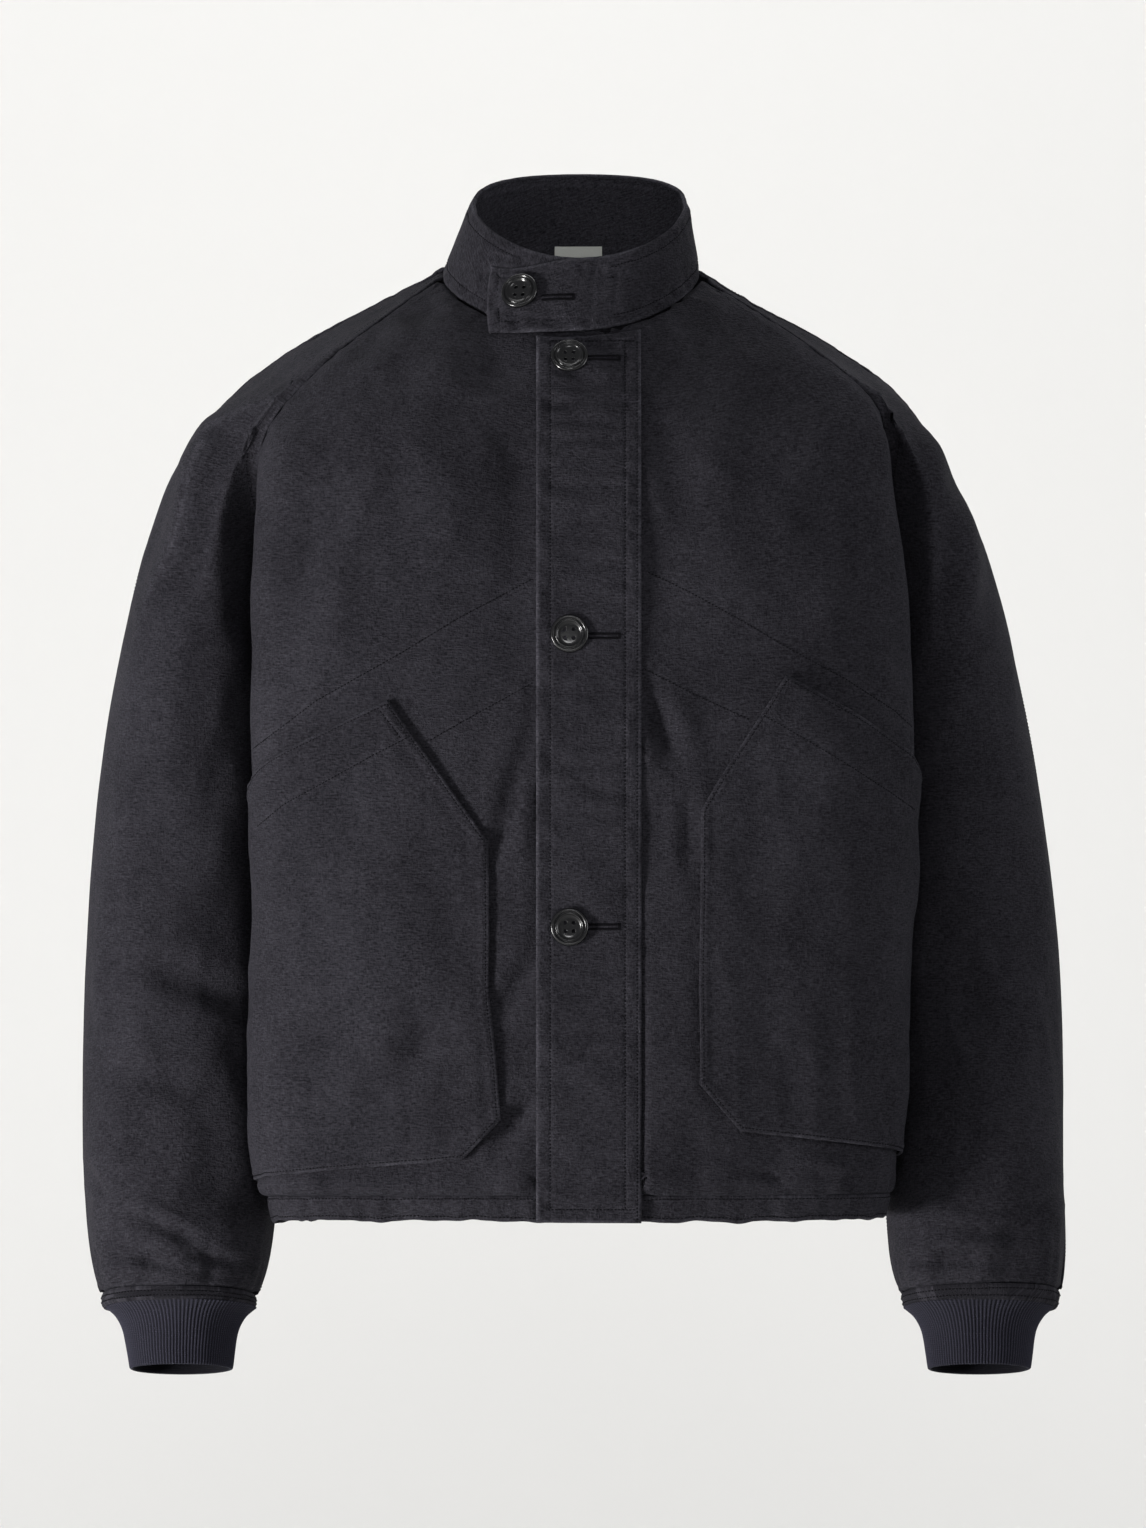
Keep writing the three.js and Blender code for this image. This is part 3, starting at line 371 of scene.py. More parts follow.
def cut_sheet(node, facing, levels=3, bands=BANDS, material="worn_canvas"):
    """The outer side of a frame wall as a fine open sheet, closest along its edges where it is sewn."""
    sheet = outer_skin(node, facing)
    inside = list(sheet.faces)
    for band in bands:
        bmesh.ops.inset_region(sheet, faces=inside, thickness=band, use_boundary=True, use_even_offset=True)
    if node.startswith(SHARP_CORNERED):
        keep_corners(sheet)
    piece = new_object(f"{node}_cloth", sheet, material)
    lay_flat(piece)
    smooth = piece.modifiers.new("smooth", "SUBSURF")
    smooth.levels = levels
    smooth.render_levels = levels
    smooth.boundary_smooth = "PRESERVE_CORNERS"
    apply_modifiers(piece)
    return piece


def keep_corners(sheet):
    """Marks the corners of a sheet's border to stay sharp when it is smoothed."""
    crease = sheet.verts.layers.float.new("crease_vert")
    for vert in sheet.verts:
        ends = [e.other_vert(vert).co for e in vert.link_edges if e.is_boundary]
        if len(ends) != 2:
            continue
        turn = (vert.co - ends[0]).angle(ends[1] - vert.co, 0.0)
        if turn > CORNER_TURN:
            vert[crease] = 1.0


def boundary_loops(sheet):
    loops = []
    left = {e for e in sheet.edges if e.is_boundary}
    while left:
        edge = left.pop()
        line = [edge.verts[0], edge.verts[1]]
        while True:
            following = next((e for e in line[-1].link_edges if e in left), None)
            if following is None:
                break
            left.remove(following)
            line.append(following.other_vert(line[-1]))
        loops.append([v.co.copy() for v in line])
    return loops


def arrays_of(piece):
    mesh = piece.data
    count = len(mesh.vertices)
    places = np.empty(count * 3)
    ways = np.empty(count * 3)
    mesh.vertices.foreach_get("co", places)
    mesh.vertices.foreach_get("normal", ways)
    return places.reshape(-1, 3), ways.reshape(-1, 3)


def set_attribute(piece, name, values):
    layer = piece.data.attributes.new(name, "FLOAT", "POINT")
    layer.data.foreach_set("value", np.asarray(values, dtype=np.float32))


def bell(distance, width):
    return np.exp(-((distance / width) ** 2))


def step_in(value, start, end):
    t = np.clip((value - start) / (end - start), 0.0, 1.0)
    return t * t * (3.0 - 2.0 * t)


# Creases, as seen from the front on the plane Y=0, in millimetres: the piece they lie on, how far
# they stand out (or sink in where negative), their half width, and the line they follow
FRONT_CREASES = (
    ("sleeve_right", 3.0, 9, [(-199, -82), (-223, -90), (-238, -98), (-249, -122), (-256, -150),
                              (-262, -174), (-268, -187), (-281, -214)]),
    ("sleeve_right", -1.5, 13, [(-219, -96), (-226, -118), (-229, -148)]),
    ("sleeve_right", -2.0, 9, [(-286, -444), (-254, -456), (-216, -471)]),
    ("sleeve_right", -1.5, 9, [(-304, -512), (-280, -521), (-250, -526)]),
    ("sleeve_right", -2.5, 3.5, [(-322, -579), (-317, -586), (-309, -596)]),
    ("sleeve_right", -4.0, 5, [(-288, -609), (-266, -619), (-243, -630)]),
    ("sleeve_right", -2.6, 4, [(-268, -633), (-244, -636), (-218, -640)]),
    ("sleeve_right", -2.6, 4.5, [(-313, -638), (-294, -634), (-272, -640), (-254, -642)]),
    ("sleeve_left", 2.5, 7, [(229, -103), (231, -131), (233, -155)]),
    ("sleeve_left", 2.5, 8, [(249, -148), (252, -183), (251, -219)]),
    ("sleeve_left", -3.0, 5, [(240, -619), (263, -621), (283, -620), (302, -616)]),
    ("sleeve_left", -2.6, 5, [(212, -638), (240, -638), (267, -637)]),
    ("sleeve_left", -3.0, 4, [(293, -610), (304, -601), (314, -592)]),
    ("front_right", -2.5, 14, [(-163, -113), (-176, -177), (-188, -245)]),
    ("front_right", -1.0, 13, [(-42, -105), (-44, -131), (-46, -152)]),
    ("front_right", -1.5, 22, [(-42, -50), (-48, -140), (-44, -250)]),
    ("front_left", -1.3, 20, [(50, -50), (56, -140), (52, -250)]),
    ("front_right", -3.0, 6, [(-30, -284), (-44, -336), (-57, -385)]),
    ("front_right", -2.5, 6, [(-29, -437), (-37, -455), (-47, -472)]),
    ("front_right", -2.5, 6, [(-29, -531), (-41, -547), (-53, -564)]),
    ("front_left", -3.0, 8, [(44, -269), (52, -291), (62, -313)]),
    ("front_left", -2.0, 5, [(70, -333), (71, -359), (70, -385)]),
    ("front_right", -1.8, 10, [(-184, -497), (-159, -489), (-135, -482)]),
    ("front_right", -1.8, 10, [(-130, -523), (-110, -508), (-92, -492)]),
    ("front_left", -2.0, 3.2, [(88, -584), (104, -582), (119, -582), (131, -588), (136, -595), (143, -610)]),
    ("front_left", 2.0, 4, [(142, -582), (150, -575), (165, -577), (198, -582)]),
    ("placket", -0.9, 3, [(-26, -268), (10, -271), (36, -266)]),
    ("placket", -0.8, 3, [(-20, -283), (8, -284), (30, -280)]),
    ("placket", -1.0, 3.5, [(-26, -300), (4, -303), (37, -298)]),
    ("placket", -0.7, 3, [(-10, -318), (37, -314)]),
    ("placket", -1.0, 3, [(-27, -331), (16, -328)]),
    ("placket", -0.8, 3.5, [(-26, -369), (36, -367)]),
    ("placket", -1.1, 3.5, [(-27, -443), (8, -441), (37, -444)]),
    ("placket", -0.9, 3, [(-20, -467), (30, -465)]),
    ("placket", -0.8, 3, [(-27, -480), (12, -479)]),
    ("placket", -1.0, 3.5, [(-12, -493), (37, -491)]),
    ("placket", -0.8, 3.5, [(-27, -526), (36, -524)]),
)

# The same for the hidden back, where similar creases are guessed
BACK_CREASES = (
    ("back", -2.2, 12, [(-110, -120), (-128, -170), (-140, -230)]),
    ("back", -2.2, 12, [(118, -116), (130, -168), (138, -226)]),
    ("back", -1.8, 14, [(-60, -300), (-20, -330), (40, -340)]),
    ("back", -2.0, 10, [(-150, -470), (-110, -500), (-70, -540)]),
    ("back", -2.0, 10, [(148, -476), (112, -508), (80, -548)]),
    ("back", -1.8, 8, [(-20, -480), (-10, -530), (-14, -570)]),
    ("back", 1.6, 9, [(40, -440), (52, -500), (46, -560)]),
    ("sleeve_right", -2.6, 10, [(-236, -120), (-250, -160), (-258, -205)]),
    ("sleeve_right", -2.2, 8, [(-222, -330), (-262, -345), (-300, -338)]),
    ("sleeve_right", -2.0, 8, [(-230, -372), (-266, -380), (-306, -366)]),
    ("sleeve_right", -3.2, 5, [(-300, -606), (-270, -618), (-236, -612)]),
    ("sleeve_right", -2.4, 4.5, [(-306, -634), (-272, -640), (-236, -636)]),
    ("sleeve_left", -2.6, 10, [(232, -124), (246, -162), (252, -210)]),
    ("sleeve_left", -2.2, 8, [(218, -336), (258, -350), (292, -342)]),
    ("sleeve_left", -2.0, 8, [(226, -378), (262, -384), (298, -372)]),
    ("sleeve_left", -3.2, 5, [(298, -602), (268, -616), (232, -610)]),
    ("sleeve_left", -2.4, 4.5, [(304, -632), (270, -640), (232, -636)]),
)

# The top of a raised fold on the wearer's right sleeve, on the plane Y=0 in millimetres, along which a painted
# highlight is laid
HIGHLIT_RIDGE = [(-199, -82), (-223, -90), (-238, -98), (-249, -122), (-256, -150), (-262, -174),
                (-268, -187), (-281, -214)]

PHOTO_DISTANCE = 7.0
PHOTO_EYE = Vector((-0.0045, -PHOTO_DISTANCE, -0.316))


def on_photo_plane(places):
    """Where places show on the plane Y=0 from the photograph's viewpoint, in millimetres."""
    nearer = (PHOTO_DISTANCE + places[:, 1]) / PHOTO_DISTANCE
    across = PHOTO_EYE.x + (places[:, 0] - PHOTO_EYE.x) / nearer
    up = PHOTO_EYE.z + (places[:, 2] - PHOTO_EYE.z) / nearer
    return np.stack([across, up], axis=1) / MM


CREASE_DEPTH = 2.3
STEEPEST = 0.85


def crease_height(flat, line, depth, width):
    """Height of one crease: soft across, fading out towards both its ends."""
    line = np.array(line, dtype=float)
    lengths = np.linalg.norm(np.diff(line, axis=0), axis=1)
    starts = np.concatenate([[0.0], np.cumsum(lengths)])
    best = np.full(len(flat), 1e9)
    share = np.zeros(len(flat))
    for k, length in enumerate(lengths):
        way = (line[k + 1] - line[k]) / length
        along = np.clip((flat - line[k]) @ way, 0.0, length)
        gap = np.linalg.norm(flat - line[k] - along[:, None] * way, axis=1)
        nearer = gap < best
        best = np.where(nearer, gap, best)
        share = np.where(nearer, (starts[k] + along) / starts[-1], share)
    fade = np.sqrt(np.clip(np.sin(np.pi * np.clip(share, 0.04, 0.96)), 0.0, 1.0))
    core = bell(best, width)
    shoulder = 0.35 * bell(best - 1.9 * width, 0.8 * width)
    tall = max(-STEEPEST * width, min(STEEPEST * width, CREASE_DEPTH * depth))
    return tall * MM * fade * (core - shoulder)


def crease_all(places, ways, piece_name):
    flat = on_photo_plane(places)
    height = np.zeros(len(places))
    for table, facing in ((FRONT_CREASES, -1.0), (BACK_CREASES, 1.0)):
        seen = step_in(ways[:, 1] * facing, -0.15, 0.35)
        for piece, depth, width, line in table:
            if piece_name.startswith(piece) or (piece_name.startswith("pocket") and piece[-5:] == piece_name[-5:]
                                                and piece.startswith("front")):
                height += seen * crease_height(flat, line, depth, width)
    return height


def ripple(places, size, seed, stretch=(1.0, 1.0, 1.0)):
    """Smooth noise of about 1 from crest to hollow, over waves of a size in metres."""
    scale = [1.0 / (size * way) for way in stretch]
    offset = Vector((seed * 7.3, seed * 3.1, seed * 5.7))
    return np.array([
        noise.noise(Vector((x * scale[0], y * scale[1], z * scale[2])) + offset) for x, y, z in places
    ])


def slack_height(places, strength=1.0):
    """The gentle rise and fall of worn canvas that hangs free."""
    broad = ripple(places, 0.075, 3.0, (1.0, 1.0, 1.5))
    middle = ripple(places, 0.030, 11.0, (1.0, 1.0, 1.3))
    sharp = 0.5 - np.abs(ripple(places, 0.042, 23.0, (0.8, 0.8, 1.6)))
    fine = ripple(places, 0.011, 37.0)
    return strength * MM * (5.5 * broad + 2.4 * middle + 2.9 * sharp + 0.5 * fine)


def nearest_on(places, lines):
    """Distance to the nearest point of some lines, and that point, for each place."""
    points = []
    for line in lines:
        for a, b in zip(line, line[1:]):
            steps = max(1, int((b - a).length / (1.5 * MM)))
            points.extend(a.lerp(b, k / steps) for k in range(steps))
    tree = KDTree(len(points))
    for k, point in enumerate(points):
        tree.insert(point, k)
    tree.balance()
    found = [tree.find(place) for place in places]
    return np.array([f[2] for f in found]), np.array([f[0] for f in found])


SEAM_DIP = 0.9 * MM
LAPPED_DIP = 0.35 * MM
UNDER_DIP = 1.5 * MM
SEAM_TURN = 1.7 * MM
ALLOWANCE = 8.0 * MM
ALLOWANCE_RAISE = 0.8 * MM
STITCH_DIP = 0.6 * MM
PUCKER = 1.3 * MM
PUCKER_REACH = 13.0 * MM


def seam_height(places, lines, topstitched, shown=1.0):
    """Cloth turned under at a seam, puckered beside it, and padded where the allowance lies under it."""
    if not lines:
        return np.zeros(len(places))
    gap, foot = nearest_on(places, lines)
    dip = LAPPED_DIP if topstitched else UNDER_DIP
    height = -dip * (1.0 - step_in(gap, 0.0, SEAM_TURN))
    near = gap < 3.0 * PUCKER_REACH
    waves = np.zeros(len(places))
    waves[near] = ripple(foot[near], 7.0 * MM, 51.0)
    height += shown * PUCKER * waves * bell(gap, PUCKER_REACH) * step_in(gap, 0.0, SEAM_TURN)
    if topstitched:
        height += shown * ALLOWANCE_RAISE * (1.0 - step_in(gap, ALLOWANCE, ALLOWANCE + 2.5 * MM))
        height -= shown * STITCH_DIP * bell(gap - ALLOWANCE, 1.1 * MM)
    return height


STITCH_RUB = 0.09


def stitched_down(piece, lines):
    """Sinks of a sheet along lines of stitches drawn as the photograph shows them, and their rubbed rims."""
    places, _ = arrays_of(piece)
    tree = piece_tree(piece)
    laid = [from_photo(line, tree) for line in lines]
    laid = [line for line in laid if len(line) > 3]
    if not laid:
        return np.zeros(len(places)), np.zeros(len(places))
    gap, foot = nearest_on(places, laid)
    near = gap < 2.0 * PUCKER_REACH
    waves = np.zeros(len(places))
    waves[near] = ripple(foot[near], 6.0 * MM, 57.0)
    heights = -STITCH_DIP * bell(gap, 1.3 * MM) + 0.7 * PUCKER * waves * bell(gap, 0.6 * PUCKER_REACH)
    paling = STITCH_RUB * np.clip(0.7 + waves, 0.0, 1.4) * bell(gap, 2.4 * MM)
    return heights, paling


def wall_tree(node):
    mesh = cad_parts[node].data
    return BVHTree.FromPolygons([v.co for v in mesh.vertices], [p.vertices[:] for p in mesh.polygons])


def border(piece):
    sheet = bmesh.new()
    sheet.from_mesh(piece.data)
    loops = boundary_loops(sheet)
    sheet.free()
    return loops


SEAM_REACH = 3.0 * MM


def seams_with(piece, nodes, reach=SEAM_REACH):
    """The parts of a piece's border that are sewn to other frame walls, as lines of points."""
    trees = [wall_tree(node) for node in nodes]
    lines = []
    for loop in border(piece):
        near = [any(tree.find_nearest(point, reach)[0] is not None for tree in trees) for point in loop]
        if all(near):
            lines.append(loop)
            continue
        first = near.index(False)
        loop = loop[first:-1] + loop[:first + 1]
        near = near[first:-1] + near[:first + 1]
        run = []
        for point, close in zip(loop, near):
            if close:
                run.append(point)
            elif len(run) > 3:
                lines.append(run)
                run = []
            else:
                run = []
        if len(run) > 3:
            lines.append(run)
    return lines


def shift(piece, heights):
    """Moves a sheet's points along its normals."""
    places, ways = arrays_of(piece)
    moved = places + ways * heights[:, None]
    piece.data.vertices.foreach_set("co", moved.ravel())
    piece.data.update()


def reach_out(piece, lines, along, inward):
    """Moves the border next to some seams out past it and in under its neighbour."""
    if not lines:
        return
    tree = KDTree(sum(len(line) for line in lines))
    for k, point in enumerate(point for line in lines for point in line):
        tree.insert(point, k)
    tree.balance()
    sheet = bmesh.new()
    sheet.from_mesh(piece.data)
    moves = []
    for vert in sheet.verts:
        if not vert.is_boundary or tree.find(vert.co)[2] > 4.0 * MM:
            continue
        out = Vector()
        for edge in vert.link_edges:
            if not edge.is_boundary:
                out += (vert.co - edge.other_vert(vert).co).normalized()
        if out.length > 0.1:
            moves.append((vert, out.normalized() * along - vert.normal * inward))
    for vert, move in moves:
        vert.co += move
    sheet.to_mesh(piece.data)
    sheet.free()


def lay_flat(piece):
    """Unrolls a sheet to its flat pattern in metres, its warp running up the piece."""
    bpy.context.view_layer.objects.active = piece
    piece.select_set(True)
    bpy.ops.object.mode_set(mode="EDIT")
    bpy.ops.mesh.select_all(action="SELECT")
    bpy.ops.uv.unwrap(method="ANGLE_BASED", margin=0.0)
    bpy.ops.object.mode_set(mode="OBJECT")
    piece.select_set(False)
    mesh = piece.data
    count = len(mesh.loops)
    flat = np.empty(count * 2)
    mesh.uv_layers.active.data.foreach_get("uv", flat)
    flat = flat.reshape(-1, 2)
    corner = np.empty(count, dtype=np.int32)
    mesh.loops.foreach_get("vertex_index", corner)
    places = arrays_of(piece)[0]
    height = places[corner, 2]
    solve = np.linalg.lstsq(np.column_stack([flat, np.ones(count)]), height, rcond=None)[0]
    up = solve[:2] / np.linalg.norm(solve[:2])
    covered = 0.0
    for face in mesh.polygons:
        ring = flat[list(face.loop_indices)]
        covered += 0.5 * abs(sum(a[0] * b[1] - a[1] * b[0] for a, b in zip(ring, np.roll(ring, -1, axis=0))))
    size = math.sqrt(sum(face.area for face in mesh.polygons) / covered)
    laid = size * np.column_stack([flat @ np.array([up[1], -up[0]]), flat @ up])
    mesh.uv_layers.active.data.foreach_set("uv", laid.ravel())


def wrap_flat(piece, centre, radius):
    """Lays a tube's threads round it: turns and heights in metres."""
    mesh = piece.data
    layer = mesh.uv_layers.new(name="flat")
    for loop in mesh.loops:
        place = mesh.vertices[loop.vertex_index].co
        turn = math.atan2(place.y - centre[1], place.x - centre[0])
        layer.data[loop.index].uv = (turn * radius, place.z)


def calm(piece, centre, reach, rounds):
    """Evens out a sheet's points round a place."""
    sheet = bmesh.new()
    sheet.from_mesh(piece.data)
    centre = Vector(centre)
    inside = [v for v in sheet.verts if (v.co - centre).length < reach and not v.is_boundary]
    for _ in range(rounds):
        bmesh.ops.smooth_vert(sheet, verts=inside, factor=0.5, use_axis_x=True, use_axis_y=True, use_axis_z=True)
    sheet.to_mesh(piece.data)
    sheet.free()


INNER_GAP = 0.5 * MM
INNER_ROUNDS = 3


def thicken(piece, wall, inner_coarse=True):
    """Gives a sheet its thickness on the inner side, which needs fewer points."""
    count = len(piece.data.vertices)
    outer = piece_tree(piece)
    shell = piece.modifiers.new("wall", "SOLIDIFY")
    shell.thickness = wall
    shell.offset = -1.0
    shell.use_quality_normals = True
    apply_modifiers(piece)
    if inner_coarse:
        sheet = bmesh.new()
        sheet.from_mesh(piece.data)
        inner = [v for v in sheet.verts if v.index >= count
                 and all(e.other_vert(v).index >= count for e in v.link_edges)]
        bmesh.ops.unsubdivide(sheet, verts=inner, iterations=2)
        inner = [v for v in inner if v.is_valid]
        for _ in range(INNER_ROUNDS):
            sink_inner(outer, inner)
        sheet.to_mesh(piece.data)
        sheet.free()
    piece.data.shade_smooth()


def sink_inner(outer, inner):
    """Moves the inner side's points in where its coarser faces would come through the outer side."""
    moves = []
    for vert in inner:
        lack = 0.0
        way = None
        for edge in vert.link_edges:
            for share in (0.25, 0.5):
                place = vert.co.lerp(edge.other_vert(vert).co, share)
                spot, up, _, _ = outer.find_nearest(place)
                if spot is None:
                    continue
                short = (place - spot).dot(up) + INNER_GAP
                if short > lack:
                    lack = short
                    way = up
        if way is not None:
            moves.append((vert, way * lack))
    for vert, move in moves:
        vert.co -= move


def declare(piece, node):
    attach(piece, "root")
    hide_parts(node)


def keep_under(piece, cover, gap):
    """Sinks a sheet where it would come nearer than a gap to the sheet that lies on it."""
    mesh = cover.data
    tree = BVHTree.FromPolygons([v.co for v in mesh.vertices], [p.vertices[:] for p in mesh.polygons])
    places, ways = arrays_of(piece)
    drop = np.zeros(len(places))
    for k, place in enumerate(places):
        spot, way, _, far = tree.find_nearest(place, 12.0 * MM)
        if spot is None:
            continue
        height = (Vector(place) - spot).dot(way)
        beside = (Vector(place) - spot - way * height).length
        if beside < 1.0 * MM and height > -gap:
            drop[k] = -gap - height
    shift(piece, drop)


GROOVE = 1.5 * MM


def groove_beside(piece, cover, reach=2.6 * MM):
    """Sinks a sheet along the edges of the piece sewn on it, where the stitches draw it in."""
    places, _ = arrays_of(piece)
    gap, _ = nearest_on(places, border(cover))
    shift(piece, -GROOVE * bell(gap, reach))


def wear_of(piece, edges=(), reach=2.2 * MM, strength=0.75):
    """How pale each point is rubbed: along the given edges, and a little all over in broad patches."""
    places, _ = arrays_of(piece)
    worn = 0.04 + 0.10 * ripple(places, 0.09, 71.0)
    if edges:
        gap, foot = nearest_on(places, edges)
        patches = 0.55 + 0.9 * ripple(foot, 0.02, 83.0)
        worn += np.clip(patches, 0.0, 1.0) * bell(gap, reach) * strength
    return np.clip(worn, 0.0, 1.0)


# Sewing

def piece_tree(piece):
    mesh = piece.data
    return BVHTree.FromPolygons([v.co for v in mesh.vertices], [p.vertices[:] for p in mesh.polygons])


def resample(line, pitch):
    """Points along a line at an even pitch."""
    line = [point for k, point in enumerate(line) if k == 0 or (point - line[k - 1]).length > 1e-6]
    if len(line) < 2:
        return []
    lengths = [0.0]
    for a, b in zip(line, line[1:]):
        lengths.append(lengths[-1] + (b - a).length)
    count = max(1, round(lengths[-1] / pitch))
    points = []
    k = 0
    for step in range(count + 1):
        want = lengths[-1] * step / count
        while k < len(line) - 2 and lengths[k + 1] < want:
            k += 1
        points.append(line[k].lerp(line[k + 1], (want - lengths[k]) / max(1e-9, lengths[k + 1] - lengths[k])))
    return points


def beside(line, tree, distance, pitch=2.0 * MM):
    """A line moved a distance in from a piece's edge, over its surface, split where corners cut it off."""
    points = resample(line, pitch)
    edge = KDTree(len(points))
    for k, point in enumerate(points):
        edge.insert(point, k)
    edge.balance()
    runs = []
    run = []
    closed = (line[0] - line[-1]).length < 1e-6
    for k, point in enumerate(points):
        before = points[k - 1] if k else (points[-2] if closed else point)
        after = points[k + 1] if k + 1 < len(points) else (points[1] if closed else point)
        way = (after - before).normalized()
        spot, up, _, _ = tree.find_nearest(point)
        if spot is None or way.length < 0.5:
            continue
        found = []
        for sign in (1.0, -1.0):
            level = up
            for _ in range(2):
                hit = tree.find_nearest(point + way.cross(level).normalized() * distance * sign)
                level = hit[1] if hit[1].dot(up) > 0.3 else up
            found.append(hit)
        best = min(found, key=lambda hit: hit[3])
        far = edge.find(best[0])[2]
        if best[3] < 0.6 * distance and far > 0.85 * distance:
            run.append(best[0].copy())
        elif run:
            runs.append(run)
            run = []
    if run:
        runs.append(run)
    if closed and len(runs) > 1 and (runs[0][0] - runs[-1][-1]).length < 3.0 * pitch:
        runs[0] = runs.pop() + runs[0]
    elif closed and len(runs) == 1:
        runs[0].append(runs[0][0])
    return [run for run in runs if len(run) > 3]


def from_photo(line, tree, facing=-1.0):
    """A line drawn on the plane Y=0 as the photograph shows it, laid on a surface. Facing 1 is from behind."""
    eye = Vector((PHOTO_EYE.x, PHOTO_EYE.y if facing < 0 else -PHOTO_EYE.y, PHOTO_EYE.z))
    drawn = [Vector((x * MM, 0.0, z * MM)) for x, z in line]
    laid = []
    for point in resample(drawn, 2.0 * MM):
        spot = tree.ray_cast(eye, (point - eye).normalized())[0]
        if spot is not None:
            laid.append(spot)
    return laid


STITCH_SHARE = 0.74
STITCH_RINGS = ((0.22, 0.9), (0.78, 0.9))
STITCH_SIDES = 4


def stitch_faces():
    faces = []
    ring = STITCH_SIDES
    for k in range(ring):
        after = (k + 1) % ring
        faces.append((0, 1 + after, 1 + k))
        for level in range(len(STITCH_RINGS) - 1):
            low = 1 + level * ring
            faces.append((low + k, low + after, low + ring + after, low + ring + k))
        last = 1 + (len(STITCH_RINGS) - 1) * ring
        faces.append((last + k, last + after, last + ring))
    return faces


def sewn(name, stitches, radius, material="sewing_thread"):
    """Joins stitches, each a start, an end and the way its surface faces, into one mesh."""
    starts = np.array([s[0] for s in stitches])
    ends = np.array([s[1] for s in stitches])
    up = np.array([s[2] for s in stitches])
    along = ends - starts
    length = np.linalg.norm(along, axis=1, keepdims=True)
    side = np.cross(along / length, up)
    side /= np.linalg.norm(side, axis=1, keepdims=True)
    up = np.cross(side, along / length)
    rows = [starts - up * radius * 0.6]
    for share, wide in STITCH_RINGS:
        middle = starts + along * share + up * radius * (0.55 * math.sin(math.pi * share))
        for k in range(STITCH_SIDES):
            turn = 2.0 * math.pi * k / STITCH_SIDES
            rows.append(middle + radius * wide * (side * math.cos(turn) + up * math.sin(turn)))
    rows.append(ends - up * radius * 0.6)
    each = len(rows)
    places = np.stack(rows, axis=1).reshape(-1, 3)
    pattern = stitch_faces()
    faces = [tuple(index + each * k for index in face) for k in range(len(stitches)) for face in pattern]
    mesh = bpy.data.meshes.new(name)
    mesh.from_pydata(places.tolist(), [], faces)
    mesh.validate()
    piece = bpy.data.objects.new(name, mesh)
    bpy.context.scene.collection.objects.link(piece)
    mesh.materials.append(bpy.data.materials[material])
    mesh.shade_smooth()
    return piece


def run_of_stitches(line, tree, pitch, lift=0.05 * MM):
    stitches = []
    points = resample(line, pitch)
    for a, b in zip(points, points[1:]):
        end = a.lerp(b, STITCH_SHARE)
        first, up, _, far = tree.find_nearest(a)
        last = tree.find_nearest(end)[0]
        if first is None or far > 4.0 * MM or (last - first).length < 0.3 * pitch:
            continue
        stitches.append((first + up * lift, last + up * lift, up))
    return stitches


# Operators

FACING_FRONT = (0.0, -1.0, 0.0)
FACING_BACK = (0.0, 1.0, 0.0)

# Panels: which way they face, what their border is sewn to, and which seams are topstitched on them
PANELS = {
    "front_right": (FACING_FRONT, ("sleeve_right_front", "back", "hem_right", "collar"), ()),
    "front_left": (FACING_FRONT, ("sleeve_left_front", "back", "hem_left", "collar"), ()),
    "back": (FACING_BACK, ("sleeve_right_back", "sleeve_left_back", "front_right", "front_left", "hem_back",
                           "collar"), ("front_right", "front_left")),
    "sleeve_right_front": (FACING_FRONT, ("front_right", "sleeve_right_back", "sleeve_edge_right", "collar"),
                           ("front_right",)),
    "sleeve_right_back": (FACING_BACK, ("back", "sleeve_right_front", "sleeve_edge_right", "collar"),
                          ("back", "sleeve_right_front")),
    "sleeve_left_front": (FACING_FRONT, ("front_left", "sleeve_left_back", "sleeve_edge_left", "collar"),
                          ("front_left",)),
    "sleeve_left_back": (FACING_BACK, ("back", "sleeve_left_front", "sleeve_edge_left", "collar"),
                         ("back", "sleeve_left_front")),
}
BLOUSING = {"front_right": 5.0 * MM, "front_left": 2.0 * MM, "back": 3.0 * MM}
GATHER_HEIGHT = 34.0 * MM
GATHER = 2.2 * MM
ARMHOLE_HIDDEN = -0.128
ARMHOLE_SHOWN = -0.104
CALM_SPOTS = {
    "front_right": ((-0.200, -0.045, -0.15), 0.055, 10),
    "front_left": ((0.205, -0.045, -0.15), 0.055, 10),
    "back": ((-0.200, 0.045, -0.15), 0.055, 10),
    "sleeve_right_front": ((-0.222, -0.055, -0.125), 0.060, 50),
    "sleeve_left_front": ((0.222, -0.055, -0.125), 0.055, 30),
}


def gathered(places, lines, size):
    """Small upright waves where cloth is drawn in along an edge."""
    if not lines:
        return np.zeros(len(places))
    gap, foot = nearest_on(places, lines)
    waves = np.zeros(len(places))
    near = gap < 2.5 * GATHER_HEIGHT
    waves[near] = ripple(foot[near], 9.0 * MM, 91.0, (1.0, 1.0, 3.0))
    return size * waves * bell(gap, GATHER_HEIGHT) * step_in(gap, 0.0, 3.0 * MM)


